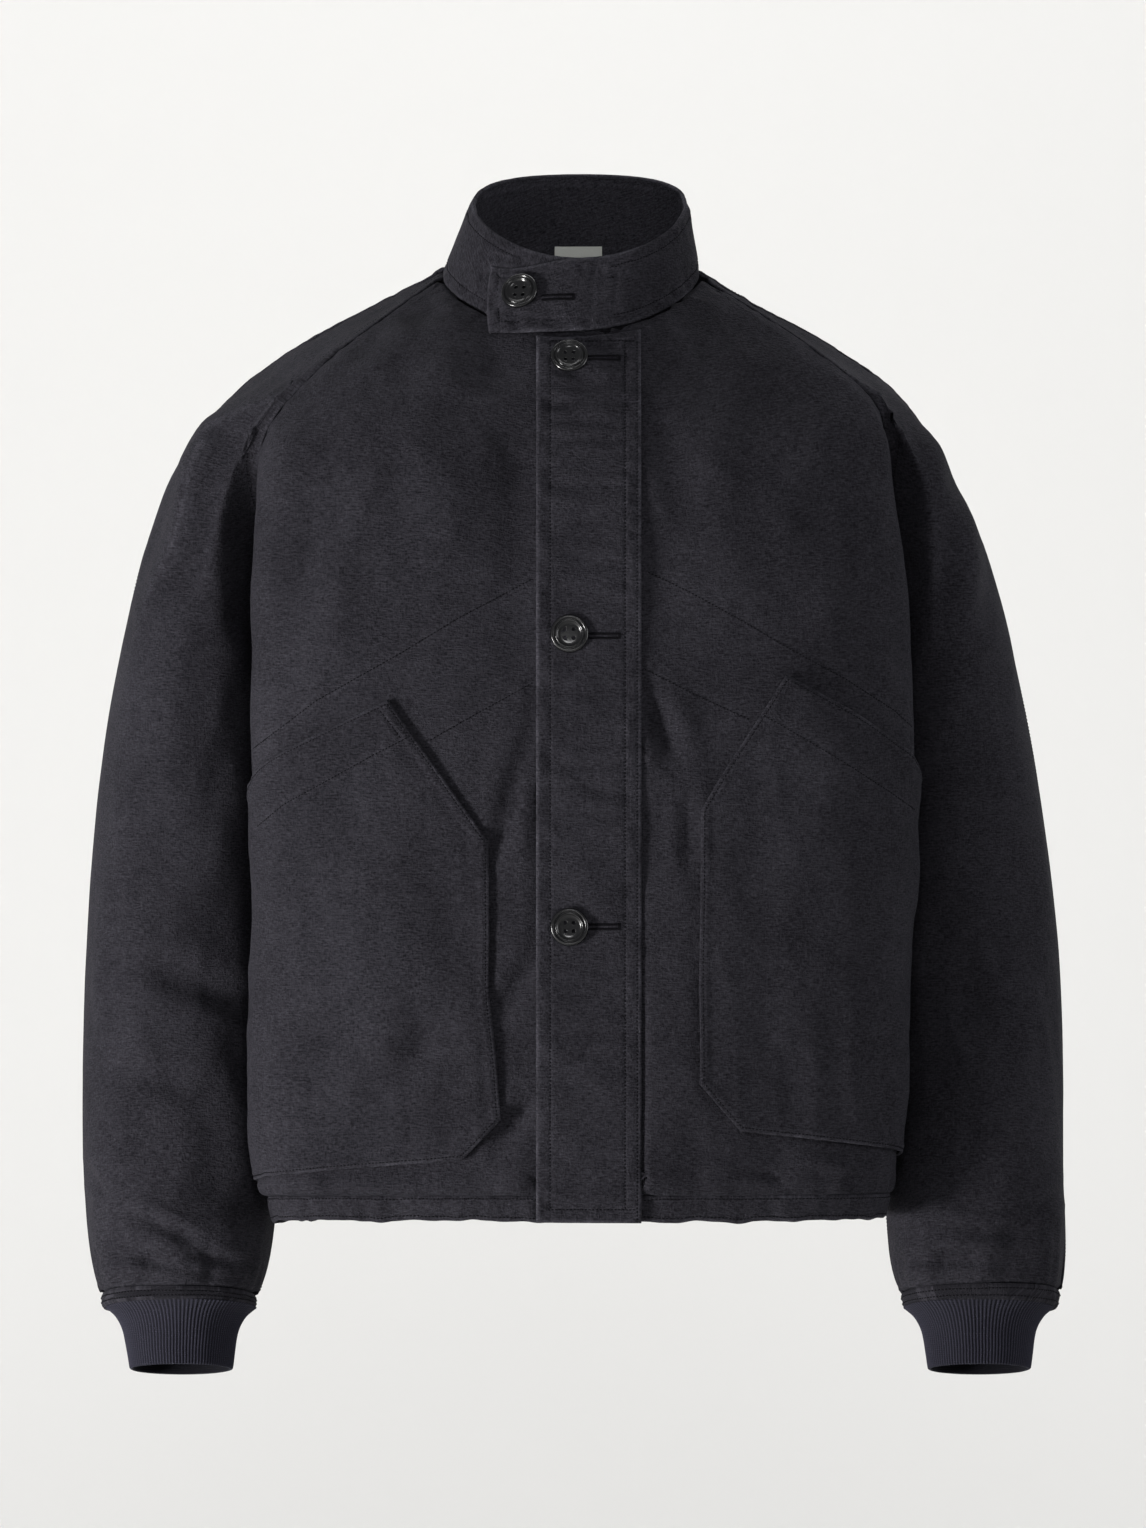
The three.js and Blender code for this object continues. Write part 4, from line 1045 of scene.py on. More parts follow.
def dress_panel(node):
    facing, neighbours, topstitched = PANELS[node]
    sizes = bpy.context.scene.jacket_sizes
    piece = cut_sheet(node, facing)
    if node in CALM_SPOTS:
        calm(piece, *CALM_SPOTS[node])
        if node == "back":
            centre, reach, rounds = CALM_SPOTS[node]
            calm(piece, (-centre[0], centre[1], centre[2]), reach, rounds)
    places, ways = arrays_of(piece)
    open_seams = seams_with(piece, [n for n in neighbours if n not in topstitched])
    flat_seams = seams_with(piece, topstitched) if topstitched else []
    broadside = 0.35 + 0.65 * step_in(np.abs(ways[:, 1]), 0.15, 0.6)
    heights = sizes.slack * (crease_all(places, ways, node) + slack_height(places) * broadside)
    gap, _ = nearest_on(places, border(piece))
    heights *= 0.25 + 0.75 * step_in(gap, 0.0, 14.0 * MM)
    drawn = [n for n in neighbours if n.startswith(("hem", "sleeve_edge"))]
    to_hem = seams_with(piece, drawn)
    heights += gathered(places, to_hem, GATHER)
    if node in BLOUSING and to_hem:
        gap, foot = nearest_on(places, to_hem)
        loose = BLOUSING[node] * (0.7 + 0.6 * ripple(foot, 40.0 * MM, 7.0))
        heights += loose * bell(gap - 8.0 * MM, 8.0 * MM)
    shown = step_in(places[:, 2], ARMHOLE_HIDDEN, ARMHOLE_SHOWN) if node.startswith("sleeve") else 1.0
    heights *= 0.15 + 0.85 * fold_clear(places)
    heights += seam_height(places, open_seams, False, shown) + seam_height(places, flat_seams, True, shown)
    sunk, paling = stitched_down(piece, DRAWN_STITCHES.get(node, ()))
    if flat_seams:
        gap, foot = nearest_on(places, flat_seams)
        patches = np.clip(0.7 + ripple(foot, 12.0 * MM, 97.0), 0.0, 1.4)
        paling += shown * STITCH_RUB * patches * bell(gap - ALLOWANCE, 1.6 * MM)
    # A painted highlight along the fold on one sleeve is added to the pale tone here
    paling += painted_ridge_highlight(places, node)
    neck = seams_with(piece, ["collar"])
    shift(piece, heights + sunk)
    worn = wear_of(piece, flat_seams, 1.3 * MM, 0.5) + paling
    set_attribute(piece, "wear", np.clip(worn, 0.0, 1.0))
    reach_out(piece, flat_seams, 0.9 * MM, 0.0)
    reach_out(piece, open_seams, 1.2 * MM, 0.3 * MM)
    reach_out(piece, neck, 4.6 * MM, 1.2 * MM)
    return piece


def fold_clear(places):
    """Small where the body and sleeves fold against each other below the armholes, elsewhere 1."""
    clear = np.ones(len(places))
    for side in OUT.values():
        for facing in (-1.0, 1.0):
            fold = np.array([side * 0.222, facing * 0.050, -0.135])
            clear -= bell(np.linalg.norm(places - fold, axis=1), 0.032)
    return np.clip(clear, 0.0, 1.0)


def painted_ridge_highlight(places, node):
    """A thin pale line along the top of the fold on one sleeve: a painted highlight."""
    if node != "sleeve_right_front":
        return np.zeros(len(places))
    flat = on_photo_plane(places)
    line = np.abs(crease_height(flat, HIGHLIT_RIDGE, 1.0, 1.7)) / (STEEPEST * 1.7 * MM)
    return 0.4 * line * np.clip(0.75 + ripple(places, 9.0 * MM, 33.0), 0.0, 1.3)


class JACKET_OT_body(bpy.types.Operator):
    """Cut, crease and hang the two fronts and the back"""
    bl_idname = "jacket.body"
    bl_label = "Fronts and back"

    def execute(self, context):
        for node in ("front_right", "front_left", "back"):
            dress_panel(node)
        return {"FINISHED"}


class JACKET_OT_sleeves(bpy.types.Operator):
    """Cut, crease and hang the four raglan sleeve panels"""
    bl_idname = "jacket.sleeves"
    bl_label = "Sleeves"

    def execute(self, context):
        for side in SIDES:
            for part in ("front", "back"):
                dress_panel(f"sleeve_{side}_{part}")
        return {"FINISHED"}


class JACKET_OT_hem(bpy.types.Operator):
    """Turn the casing round the bottom edge and the strips above the cuffs"""
    bl_idname = "jacket.hem"
    bl_label = "Hem and sleeve edges"

    def execute(self, context):
        for node in ("hem_right", "hem_left", "hem_back"):
            facing = FACING_BACK if node == "hem_back" else FACING_FRONT
            piece = cut_sheet(node, facing, bands=(1.7 * MM,))
            places, _ = arrays_of(piece)
            edge = border(piece)
            gap, _ = nearest_on(places, edge)
            folds = ripple(places, 9.0 * MM, 13.0, (1.0, 1.0, 3.5)) + 0.7 * ripple(places, 22.0 * MM, 15.0, (1.0, 1.0, 4.0))
            heights = HEM_FOLDS[node] * folds * (0.3 + 0.7 * step_in(gap, 0.0, 4.0 * MM))
            heights -= SEAM_DIP * (1.0 - step_in(gap, 0.0, SEAM_TURN)) + HEM_RECESS[node]
            shift(piece, heights)
            scallop(piece)
            set_attribute(piece, "wear", wear_of(piece, edge, 1.6 * MM, 0.4))
            panels = [n for n in ("front_right", "front_left", "back") if n.split("_")[-1] == node.split("_")[-1]]
            reach_out(piece, seams_with(piece, panels, 5.0 * MM), 1.4 * MM, 0.6 * MM)
        for side in SIDES:
            piece = cut_tube(f"sleeve_edge_{side}")
            places, _ = arrays_of(piece)
            gap, _ = nearest_on(places, border(piece))
            heights = 0.5 * MM * ripple(places, 9.0 * MM, 17.0, (1.0, 1.0, 0.5)) * step_in(gap, 0.0, 4.0 * MM)
            heights -= SEAM_DIP * (1.0 - step_in(gap, 0.0, SEAM_TURN))
            shift(piece, heights)
            set_attribute(piece, "wear", wear_of(piece))
        return {"FINISHED"}


SCALLOP = 2.4 * MM
HEM_FOLDS = {"hem_right": 2.0 * MM, "hem_left": 1.1 * MM, "hem_back": 1.3 * MM}
HEM_RECESS = {"hem_right": 1.2 * MM, "hem_left": 0.0, "hem_back": 0.3 * MM}


def scallop(piece):
    """Lets the bottom edge of a hem rise and fall a little, where the casing is drawn in."""
    places, _ = arrays_of(piece)
    low = places[:, 2].min()
    high = places[:, 2].max()
    share = np.clip((high - places[:, 2]) / (high - low), 0.0, 1.0)
    wave = ripple(places, 26.0 * MM, 19.0, (1.0, 1.0, 9.0)) + 0.5 * ripple(places, 11.0 * MM, 43.0, (1.0, 1.0, 9.0))
    places[:, 2] += SCALLOP * wave * (0.15 + 0.85 * share)
    piece.data.vertices.foreach_set("co", places.ravel())
    piece.data.update()


def cut_tube(node):
    sheet = outer_skin(node, FACING_FRONT)
    bmesh.ops.inset_region(sheet, faces=list(sheet.faces), thickness=1.7 * MM, use_boundary=True,
                           use_even_offset=True)
    piece = new_object(f"{node}_cloth", sheet, "worn_canvas")
    low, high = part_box(node)
    centre = ((low[0] + high[0]) / 2.0, (low[1] + high[1]) / 2.0)
    smooth = piece.modifiers.new("smooth", "SUBSURF")
    smooth.levels = 3
    smooth.render_levels = 3
    apply_modifiers(piece)
    wrap_flat(piece, centre, (high[0] - low[0]) / 2.0)
    return piece


class JACKET_OT_collar(bpy.types.Operator):
    """Stand the collar round the neck, its free end over the throat"""
    bl_idname = "jacket.collar"
    bl_label = "Collar"

    def execute(self, context):
        piece = cut_sheet("collar", FACING_FRONT)
        calm(piece, (0.022, -0.075, 0.0), 0.032, 25)
        places, _ = arrays_of(piece)
        edge = border(piece)
        gap, _ = nearest_on(places, edge)
        low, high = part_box("label")
        label = (Vector(low) + Vector(high)) / 2.0
        clear = 1.0 - bell(np.linalg.norm(places - np.array(label), axis=1), 30.0 * MM)
        heights = 0.32 * slack_height(places) * clear * step_in(gap, 0.0, 8.0 * MM)
        heights += 1.2 * MM * clear * ripple(places, 10.0 * MM, 29.0, (0.8, 0.8, 2.2)) * bell(gap, 14.0 * MM) * step_in(gap, 0.0, 4.0 * MM)
        heights -= SEAM_DIP * (1.0 - step_in(gap, 0.0, SEAM_TURN))
        heights -= STITCH_DIP * bell(gap - 7.5 * MM, 1.3 * MM)
        _, foot = nearest_on(places, edge)
        heights += clear * PUCKER * ripple(foot, 7.0 * MM, 67.0) * bell(gap - 5.0 * MM, 5.0 * MM)
        paling = STITCH_RUB * np.clip(0.7 + ripple(foot, 8.0 * MM, 89.0), 0.0, 1.3) * bell(gap - 7.5 * MM, 2.2 * MM)
        shift(piece, heights)
        set_attribute(piece, "wear", np.clip(wear_of(piece, edge, 1.8 * MM, 0.65) + paling, 0.0, 1.0))
        return {"FINISHED"}


EDGE_RAISE = 0.8 * MM


class JACKET_OT_pockets(bpy.types.Operator):
    """Lay the two patch pockets on the fronts"""
    bl_idname = "jacket.pockets"
    bl_label = "Pockets"

    def execute(self, context):
        for side in SIDES:
            node = f"pocket_{side}"
            piece = cut_sheet(node, FACING_FRONT)
            places, ways = arrays_of(piece)
            edge = border(piece)
            gap, _ = nearest_on(places, edge)
            heights = crease_all(places, ways, node) + slack_height(places)
            heights += 0.35 * MM * step_in(gap, 0.0, 12.0 * MM) + EDGE_RAISE * (1.0 - step_in(gap, 4.0 * MM, 8.0 * MM))
            heights -= SEAM_DIP * (1.0 - step_in(gap, 0.0, SEAM_TURN))
            heights -= STITCH_DIP * bell(gap - 2.4 * MM, 1.0 * MM)
            _, foot = nearest_on(places, edge)
            heights += 0.4 * MM * ripple(foot, 8.0 * MM, 53.0) * bell(gap, 10.0 * MM) * step_in(gap, 0.0, SEAM_TURN)
            sunk, paling = stitched_down(piece, DRAWN_STITCHES[node])
            paling += 0.6 * STITCH_RUB * bell(gap - 2.4 * MM, 1.4 * MM)
            shift(piece, heights + sunk)
            set_attribute(piece, "wear", np.clip(wear_of(piece, edge, 1.3 * MM, 0.6) + paling, 0.0, 1.0))
            keep_under(bpy.data.objects[f"front_{side}_cloth"], piece, 2.3 * MM)
            groove_beside(bpy.data.objects[f"front_{side}_cloth"], piece)
        return {"FINISHED"}


class JACKET_OT_placket(bpy.types.Operator):
    """Lay the buttoned strip down the centre front"""
    bl_idname = "jacket.placket"
    bl_label = "Placket"

    def execute(self, context):
        piece = cut_sheet("placket", FACING_FRONT)
        places, ways = arrays_of(piece)
        edge = border(piece)
        gap, _ = nearest_on(places, edge)
        heights = crease_all(places, ways, "placket") + 0.30 * slack_height(places)
        heights += 3.2 * MM * ripple(places, 9.0 * MM, 61.0, (3.0, 1.0, 0.9)) * step_in(gap, 0.0, 9.0 * MM)
        heights -= SEAM_DIP * (1.0 - step_in(gap, 0.0, SEAM_TURN))
        sunk, paling = stitched_down(piece, DRAWN_STITCHES["placket"])
        shift(piece, heights + sunk)
        set_attribute(piece, "wear", np.clip(wear_of(piece, edge, 1.8 * MM) + paling, 0.0, 1.0))
        for side in SIDES:
            keep_under(bpy.data.objects[f"front_{side}_cloth"], piece, 2.2 * MM)
            groove_beside(bpy.data.objects[f"front_{side}_cloth"], piece)
        return {"FINISHED"}


WALLS = {"pocket": 2.1 * MM, "placket": 2.0 * MM, "collar": 2.4 * MM, "hem": 3.0 * MM, "sleeve_edge": 2.4 * MM}
CUT_PIECES = (
    "front_right", "front_left", "back", "sleeve_right_front", "sleeve_right_back", "sleeve_left_front",
    "sleeve_left_back", "hem_right", "hem_left", "hem_back", "sleeve_edge_right", "sleeve_edge_left",
    "collar", "placket", "pocket_right", "pocket_left",
)


# Stitch lines that the photograph shows on each piece, on the plane Y=0 in millimetres
DRAWN_STITCHES = {
    "front_right": (
        [(-31.9, -196.3), (-55.2, -208.7), (-80, -221.7), (-115, -243.1), (-141.7, -258.1), (-171.6, -274.9),
         (-191.1, -289.9), (-212.6, -306.2)],
        [(-30.6, -263.2), (-63.7, -281.4), (-98.2, -300.9)],
    ),
    "front_left": (
        [(44.2, -191.1), (72.2, -204.8), (105.3, -223), (138.5, -242.5), (171.6, -260), (204.8, -281.4),
         (215.8, -291.9)],
        [(42.2, -254.2), (72.2, -269.8), (110.5, -287.3)],
    ),
    "pocket_right": (
        [(-112.5, -299), (-136.5, -311.4), (-164.5, -326.9), (-193.1, -342.6), (-210, -356.9)],
        [(-130, -281.4), (-116.4, -299.7)],
    ),
    "pocket_left": ([(117.7, -283.4), (146.2, -299.7), (172.2, -315.2), (201.5, -334.1), (217.8, -345.8)],),
    "placket": (
        [(-19.5, -41), (-19.5, -605.8)], [(29.2, -41), (29.2, -605.8)], [(37.1, -41), (37.1, -615.6)],
        [(-18.9, -41), (36.4, -41)], [(-18.9, -605.8), (36.4, -605.8)],
    ),
}
BUTTONHOLES = (
    ("placket", (5.9, -52), (24.7, -52)),
    ("placket", (5.9, -232.7), (24.7, -232.7)),
    ("placket", (5.9, -421.9), (24.7, -421.9)),
    ("collar", (-24.7, -13), (-5.2, -12.3)),
)


# How much paler the inside of the collar is painted: painted light
PAINTED_LIGHT_INSIDE = 0.46


def paint_light_inside(piece, outer):
    """Painted light: the facing inside the collar is given a paler tone than the outside, standing in for the light
    that falls inside it.
    """
    places, _ = arrays_of(piece)
    inside = np.array([outer.find_nearest(place)[3] for place in places]) > 1.2 * MM
    layer = piece.data.attributes["wear"].data
    worn = np.empty(len(places), dtype=np.float32)
    layer.foreach_get("value", worn)
    layer.foreach_set("value", np.clip(worn + PAINTED_LIGHT_INSIDE * inside, 0.0, 1.0).astype(np.float32))


class JACKET_OT_sewing(bpy.types.Operator):
    """Give the cloth its thickness and sew every seam, edge and buttonhole"""
    bl_idname = "jacket.sewing"
    bl_label = "Sewing"

    def execute(self, context):
        sizes = context.scene.jacket_sizes
        outer_edges = {}
        flat_seams = {}
        for node in CUT_PIECES:
            piece = bpy.data.objects[f"{node}_cloth"]
            outer_edges[node] = border(piece)
            if node in PANELS and PANELS[node][2]:
                flat_seams[node] = seams_with(piece, PANELS[node][2], 5.0 * MM)
        trees = {}
        for node in CUT_PIECES:
            piece = bpy.data.objects[f"{node}_cloth"]
            trees[node] = piece_tree(piece)
            family = next((name for name in WALLS if node.startswith(name)), None)
            thicken(piece, WALLS[family] if family else sizes.wall, family is None)
            # The inside of the collar gets painted light, a paler tone on its inner faces
            if node == "collar":
                paint_light_inside(piece, trees[node])
            declare(piece, node)

        lines = {"body": [], "sleeves": [], "trim": []}
        for node, seams in flat_seams.items():
            group = "sleeves" if node.startswith("sleeve") else "body"
            for seam in seams:
                lines[group] += [(run, node) for run in beside(seam, trees[node], ALLOWANCE)]
        for node, drawn in DRAWN_STITCHES.items():
            lines["trim"] += [(from_photo(line, trees[node]), node) for line in drawn]
        for node, distances in (("pocket_right", (2.4,)), ("pocket_left", (2.4,)), ("collar", (7.5,)),
                                ("hem_right", (3.0,)), ("hem_left", (3.0,)), ("hem_back", (3.0,)),
                                ("sleeve_edge_right", (3.0,)), ("sleeve_edge_left", (3.0,))):
            for distance in distances:
                for loop in outer_edges[node]:
                    lines["trim"] += [(run, node) for run in beside(loop, trees[node], distance * MM)]
        for group, runs in lines.items():
            stitches = []
            for run, node in runs:
                stitches += run_of_stitches(run, trees[node], sizes.stitch)
            piece = sewn(f"stitching_{group}", stitches, sizes.thread / 2.0)
            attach(piece, "root")

        bars = []
        for node, start, end in BUTTONHOLES:
            middle = from_photo([start, end], trees[node])
            along = (middle[-1] - middle[0]).normalized()
            for point in resample([middle[0], middle[-1]], 0.6 * MM):
                spot, up, _, _ = trees[node].find_nearest(point)
                side = up.cross(along).normalized()
                for way in (1.0, -1.0):
                    bars.append((spot + side * way * 0.5 * MM + up * 0.3 * MM,
                                 spot + side * way * 2.4 * MM + up * 0.1 * MM, up))
            for shift_by in (0.3, 0.9, 1.5):
                spot, up, _, _ = trees[node].find_nearest(middle[-1] + along * shift_by * MM)
                side = up.cross(along).normalized()
                bars.append((spot - side * 2.6 * MM + up * 0.2 * MM, spot + side * 2.6 * MM + up * 0.2 * MM, up))
        piece = sewn("buttonhole_stitching", bars, 0.36 * MM)
        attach(piece, "root")
        return {"FINISHED"}


# Knitted cuffs: the middle and half widths of each height, in millimetres

CUFF_PROFILE = (
    (-667.5, 49.0, 47.0, 258.0, -33.0), (-669.5, 46.4, 44.6, 258.0, -33.1), (-673.0, 42.5, 41.0, 258.0, -34.0),
    (-678.0, 39.2, 37.8, 258.0, -35.5), (-683.0, 37.2, 35.6, 258.0, -37.0), (-689.0, 36.0, 34.0, 258.0, -39.0),
    (-696.0, 35.0, 32.6, 258.0, -41.0), (-702.0, 34.1, 31.9, 258.0, -42.6), (-706.2, 33.4, 31.3, 258.0, -43.9),
)
CUFF_WALL = 2.4
CUFF_TILT = 0.17
RIB_HEIGHT = 0.8
RIB_STEPS = 5
CUFF_ROWS_BETWEEN = 3


def smooth_rows(rows, between):
    """Rows of numbers with more rows put in between, on a smooth curve through them."""
    rows = np.array(rows)
    fine = []
    for k in range(len(rows) - 1):
        a, b = rows[max(0, k - 1)], rows[k]
        c, d = rows[k + 1], rows[min(len(rows) - 1, k + 2)]
        for step in range(between):
            t = step / between
            fine.append(0.5 * (2 * b + (c - a) * t + (2 * a - 5 * b + 4 * c - d) * t * t
                               + (3 * b - a - 3 * c + d) * t ** 3))
    fine.append(rows[-1])
    return fine


class JACKET_OT_cuffs(bpy.types.Operator):
    """Knit the two ribbed cuffs"""
    bl_idname = "jacket.cuffs"
    bl_label = "Cuffs"

    def execute(self, context):
        ribs = context.scene.jacket_sizes.ribs
        around = ribs * RIB_STEPS
        outer = smooth_rows(CUFF_PROFILE, CUFF_ROWS_BETWEEN)
        last = outer[-1]
        lip = [last + np.array([-0.6, -0.5, -0.5, 0, 0]), last + np.array([-0.8, -1.2, -1.2, 0, 0]),
               last + np.array([-0.3, -CUFF_WALL, -CUFF_WALL, 0, 0])]
        inner = [row - np.array([0, CUFF_WALL, CUFF_WALL, 0, 0]) for row in reversed(outer[::2])]
        rows = [(row, 1.0) for row in outer] + [(lip[0], 0.8), (lip[1], 0.4), (lip[2], 0.0)]
        rows += [(row, 0.0) for row in inner]
        for name in SIDES:
            side = OUT[name]
            sheet = bmesh.new()
            crest = sheet.verts.layers.float.new("crest")
            ring = bmesh.ops.create_circle(sheet, segments=around, radius=1.0)["verts"]
            rings = [ring]
            edges = list({edge for vert in ring for edge in vert.link_edges})
            for _ in rows[1:]:
                made = bmesh.ops.extrude_edge_only(sheet, edges=edges)["geom"]
                edges = [item for item in made if isinstance(item, bmesh.types.BMEdge)
                         and all(vert in set(made) for vert in item.verts)]
                verts = [item for item in made if isinstance(item, bmesh.types.BMVert)]
                rings.append(verts)
            for verts, (row, raised) in zip(rings, rows):
                z, half_x, half_y, mid_x, mid_y = row
                for vert in verts:
                    turn = math.atan2(vert.co.y, vert.co.x)
                    sway = 0.006 * noise.noise(Vector((3.0 * math.cos(turn), 3.0 * math.sin(turn), z / 9.0)))
                    phase = 0.5 + 0.5 * math.cos(ribs * (turn + sway))
                    phase = phase ** 0.8
                    dent = 1.1 * noise.noise(Vector((1.6 * math.cos(turn), 1.6 * math.sin(turn), z / 26.0 + side)))
                    grow = raised * RIB_HEIGHT * (phase - 1.0) + dent
                    # Painted shade in the rib valleys, over the lip and inside the cuff; painted light on the outer
                    # rib crests
                    vert[crest] = 0.1 + 0.9 * phase * raised
                    vert.co = Vector((
                        side * (mid_x - (half_x + grow) * math.cos(turn)),
                        mid_y - (half_y + grow) * math.sin(turn),
                        z + CUFF_TILT * half_y * math.sin(turn))) * MM
            piece = new_object(f"cuff_{name}_knit", closed_tube(sheet, rings), "rib_knit")
            declare(piece, f"cuff_{name}")
        return {"FINISHED"}


def closed_tube(sheet, rings):
    """Joins the first and last rings of a tube's wall and turns its faces outwards."""
    ends = [e for e in sheet.edges if e.is_boundary]
    bmesh.ops.bridge_loops(sheet, edges=ends)
    bmesh.ops.recalc_face_normals(sheet, faces=sheet.faces)
    return sheet


# Buttons: distance from the axis and height above the back, in millimetres

BUTTON_PROFILE = (
    (0.0, 1.75), (2.5, 1.75), (5.2, 1.8), (6.6, 1.95), (7.4, 2.3), (7.9, 2.9), (8.3, 3.35), (8.7, 3.45), (9.0, 3.2),
    (9.2, 2.75), (9.5, 2.55), (9.8, 2.75), (10.1, 3.2), (10.6, 3.5), (11.2, 3.45), (11.8, 3.0), (12.2, 2.2),
    (12.1, 1.3), (11.3, 0.5), (9.5, 0.05), (5.0, 0.0), (0.0, 0.0),
)
BUTTON_STEPS = 64
HOLE_RADIUS = 1.25
HOLE_OUT = 3.8


def button_place(node):
    """Where a button's back is, and which way it faces, from its frame node."""
    places = np.array([v.co[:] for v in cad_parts[node].data.vertices])
    centre = places.mean(axis=0)
    axis = np.linalg.svd(places - centre, full_matrices=False)[2][2]
    if axis[1] > 0:
        axis = -axis
    back = ((places - centre) @ axis).min()
    return Vector(centre + axis * back), Vector(axis)


class JACKET_OT_buttons(bpy.types.Operator):
    """Turn the four buttons, drill them and tie them on"""
    bl_idname = "jacket.buttons"
    bl_label = "Buttons"

    def execute(self, context):
        for name in ("button_collar", "button_1", "button_2", "button_3"):
            centre, axis = button_place(name)
            turn = axis.to_track_quat("Z", "Y").to_matrix().to_4x4()
            place = Matrix.Translation(centre) @ turn
            sheet = bmesh.new()
            verts = [sheet.verts.new((r * MM, 0.0, h * MM)) for r, h in BUTTON_PROFILE]
            edges = [sheet.edges.new(pair) for pair in zip(verts, verts[1:])]
            bmesh.ops.spin(sheet, geom=verts + edges, cent=(0, 0, 0), axis=(0, 0, 1), angle=2 * math.pi,
                           steps=BUTTON_STEPS, use_merge=True)
            bmesh.ops.remove_doubles(sheet, verts=sheet.verts, dist=0.01 * MM)
            bmesh.ops.recalc_face_normals(sheet, faces=sheet.faces)
            piece = new_object(f"{name}_turned", sheet, "button_gloss")
            drill = bmesh.new()
            for k in range(4):
                around = math.radians(45 + 90 * k)
                bmesh.ops.create_cone(
                    drill, cap_ends=True, segments=16, radius1=HOLE_RADIUS * MM, radius2=HOLE_RADIUS * MM,
                    depth=12 * MM,
                    matrix=Matrix.Translation((HOLE_OUT * MM * math.cos(around), HOLE_OUT * MM * math.sin(around), 0)))
            tool = new_object("button_drill", drill, "button_gloss")
            cut = piece.modifiers.new("holes", "BOOLEAN")
            cut.operation = "DIFFERENCE"
            cut.object = tool
            cut.solver = "EXACT"
            apply_modifiers(piece)
            bpy.data.objects.remove(tool)
            piece.data.transform(place)
            piece.data.update()
            piece.data.shade_smooth()
            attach(piece, "root")
            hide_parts(name)
            bars = []
            for cross in (1.0, -1.0):
                for twist in (-0.42, 0.0, 0.42):
                    reach = HOLE_OUT * math.sqrt(0.5)
                    ends = [place @ Vector(((way * reach + twist) * MM, (way * cross * reach - cross * twist) * MM,
                                            (1.0 + 0.15 * cross) * MM)) for way in (-1.0, 1.0)]
                    bars.append((ends[0], ends[1], axis))
            thread = sewn(f"{name}_thread", bars, 0.27 * MM)
            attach(thread, "root")
        return {"FINISHED"}


class JACKET_OT_label(bpy.types.Operator):
    """Give the bare label its woven tape"""
    bl_idname = "jacket.label"
    bl_label = "Label"

    def execute(self, context):
        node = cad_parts["label"]
        for slot in node.material_slots:
            slot.material = bpy.data.materials["label_tape"]
        return {"FINISHED"}


# Stage

FLOOR_HEIGHT = -1.30
BACKDROP_PROFILE = (
    (-9.0, FLOOR_HEIGHT), (-3.0, FLOOR_HEIGHT), (0.6, FLOOR_HEIGHT), (1.4, FLOOR_HEIGHT + 0.06),
    (2.0, FLOOR_HEIGHT + 0.30), (2.4, FLOOR_HEIGHT + 0.75), (2.55, FLOOR_HEIGHT + 1.4), (2.6, 3.0),
)


def area_light(name, place, aim, width, height, power, colour=(1.0, 1.0, 1.0)):
    light = bpy.data.lights.new(name, "AREA")
    light.shape = "RECTANGLE"
    light.size = width
    light.size_y = height
    light.energy = power
    light.color = colour
    lamp = bpy.data.objects.new(name, light)
    lamp.location = place
    lamp.rotation_euler = (Vector(aim) - Vector(place)).to_track_quat("-Z", "Y").to_euler()
    bpy.context.scene.collection.objects.link(lamp)


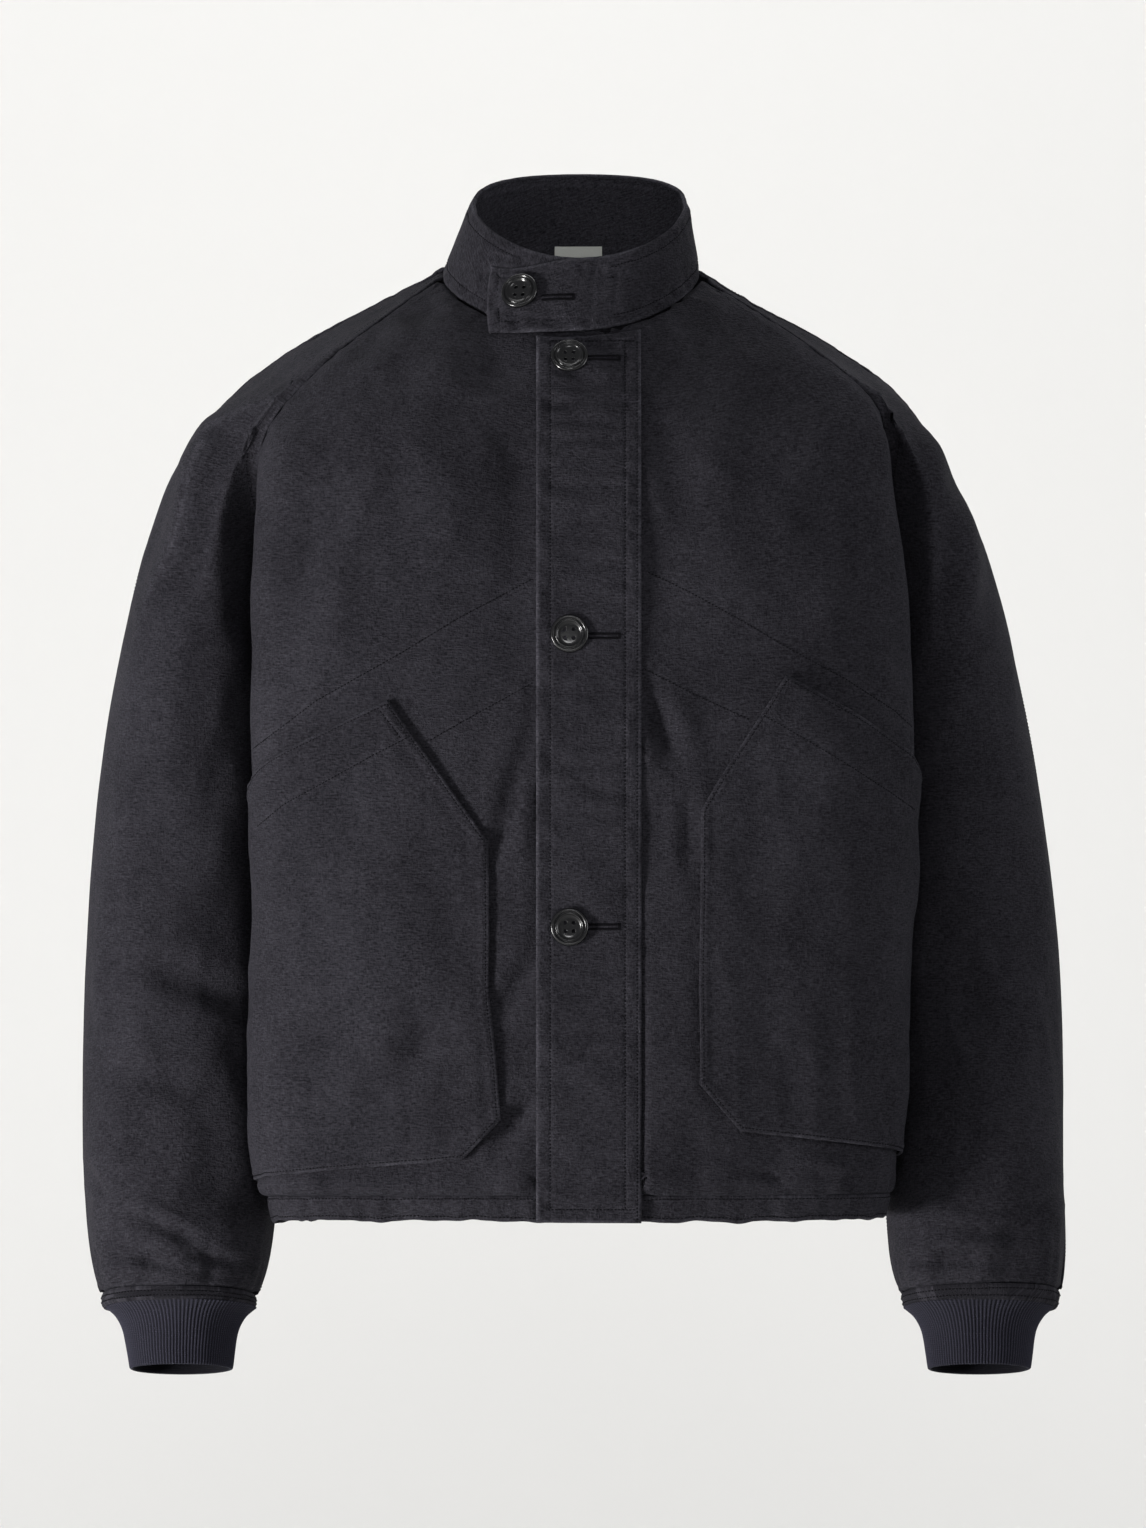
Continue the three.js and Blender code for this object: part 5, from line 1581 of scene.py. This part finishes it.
class JACKET_OT_stage(bpy.types.Operator):
    """Set the pale floor, the soft light and the camera"""
    bl_idname = "jacket.stage"
    bl_label = "Stage"

    def execute(self, context):
        floor_material(context.scene.jacket_colours.floor)
        sheet = bmesh.new()
        verts = [sheet.verts.new((-6.0, y, z)) for y, z in BACKDROP_PROFILE]
        edges = [sheet.edges.new(pair) for pair in zip(verts, verts[1:])]
        made = bmesh.ops.extrude_edge_only(sheet, edges=edges)["geom"]
        bmesh.ops.translate(sheet, verts=[v for v in made if isinstance(v, bmesh.types.BMVert)], vec=(12.0, 0, 0))
        bmesh.ops.recalc_face_normals(sheet, faces=sheet.faces)
        if sum(face.normal.z * face.calc_area() for face in sheet.faces) < 0:
            bmesh.ops.reverse_faces(sheet, faces=sheet.faces)
        floor = new_object("studio_floor", sheet, "studio_floor")
        smooth = floor.modifiers.new("smooth", "SUBSURF")
        smooth.levels = 3
        smooth.render_levels = 3

        world = bpy.data.worlds.new("studio")
        world.use_nodes = True
        background = world.node_tree.nodes["Background"]
        background.inputs["Color"].default_value = (0.97, 0.98, 1.0, 1.0)
        background.inputs["Strength"].default_value = 0.28
        seen = world.node_tree.nodes.new("ShaderNodeBackground")
        seen.inputs["Color"].default_value = (0.97, 0.98, 1.0, 1.0)
        seen.inputs["Strength"].default_value = 0.82
        path = world.node_tree.nodes.new("ShaderNodeLightPath")
        either = world.node_tree.nodes.new("ShaderNodeMixShader")
        link = world.node_tree.links.new
        link(path.outputs["Is Camera Ray"], either.inputs["Fac"])
        link(background.outputs["Background"], either.inputs[1])
        link(seen.outputs["Background"], either.inputs[2])
        link(either.outputs["Shader"], world.node_tree.nodes["World Output"].inputs["Surface"])
        context.scene.world = world
        area_light("key_light", (-2.2, -1.35, -1.0), (0, 0, -0.6), 0.45, 0.8, 118.0, (1.0, 0.99, 0.98))
        area_light("front_light", (0.1, -4.2, 1.3), (0, 0, -0.1), 1.0, 0.8, 34.0)
        area_light("fill_light", (3.4, -0.6, 0.0), (0, 0, -0.35), 1.2, 2.2, 37.0, (0.97, 0.98, 1.0))
        area_light("wall_light", (0.0, 1.0, 2.4), (0, 2.4, -0.4), 3.0, 1.2, 50.0)

        lens = bpy.data.cameras.new("photo")
        lens.lens = 253.7
        lens.sensor_width = 36.0
        lens.sensor_fit = "AUTO"
        lens.clip_end = 60.0
        camera = bpy.data.objects.new("photo_camera", lens)
        camera.location = PHOTO_EYE
        camera.rotation_euler = (math.radians(90.0), 0.0, 0.0)
        context.scene.collection.objects.link(camera)
        context.scene.camera = camera
        context.scene.view_settings.view_transform = "Standard"
        return {"FINISHED"}


class JACKET_PT_panel(bpy.types.Panel):
    """Buttons for every part of the jacket"""
    bl_idname = "JACKET_PT_panel"
    bl_label = "Canvas jacket"
    bl_space_type = "VIEW_3D"
    bl_region_type = "UI"
    bl_category = "Jacket"

    def draw(self, context):
        layout = self.layout
        for group in (context.scene.jacket_sizes, context.scene.jacket_colours):
            for name in group.bl_rna.properties.keys():
                if name not in ("rna_type", "name"):
                    layout.prop(group, name)
        for operator in OPERATORS:
            layout.operator(operator.bl_idname)


OPERATORS = (
    JACKET_OT_body, JACKET_OT_sleeves, JACKET_OT_hem, JACKET_OT_collar, JACKET_OT_pockets, JACKET_OT_placket,
    JACKET_OT_sewing, JACKET_OT_cuffs, JACKET_OT_buttons, JACKET_OT_label, JACKET_OT_stage,
)
CLASSES = (JacketSizes, JacketColours, *OPERATORS, JACKET_PT_panel)


def register():
    for cls in CLASSES:
        bpy.utils.register_class(cls)
    bpy.types.Scene.jacket_sizes = bpy.props.PointerProperty(type=JacketSizes)
    bpy.types.Scene.jacket_colours = bpy.props.PointerProperty(type=JacketColours)


def unregister():
    del bpy.types.Scene.jacket_colours
    del bpy.types.Scene.jacket_sizes
    for cls in reversed(CLASSES):
        bpy.utils.unregister_class(cls)


def main():
    register()
    make_materials()
    bpy.ops.jacket.body()
    bpy.ops.jacket.sleeves()
    bpy.ops.jacket.hem()
    bpy.ops.jacket.collar()
    bpy.ops.jacket.pockets()
    bpy.ops.jacket.placket()
    bpy.ops.jacket.sewing()
    bpy.ops.jacket.cuffs()
    bpy.ops.jacket.buttons()
    bpy.ops.jacket.label()
    bpy.ops.jacket.stage()


if __name__ == "__main__":
    main()
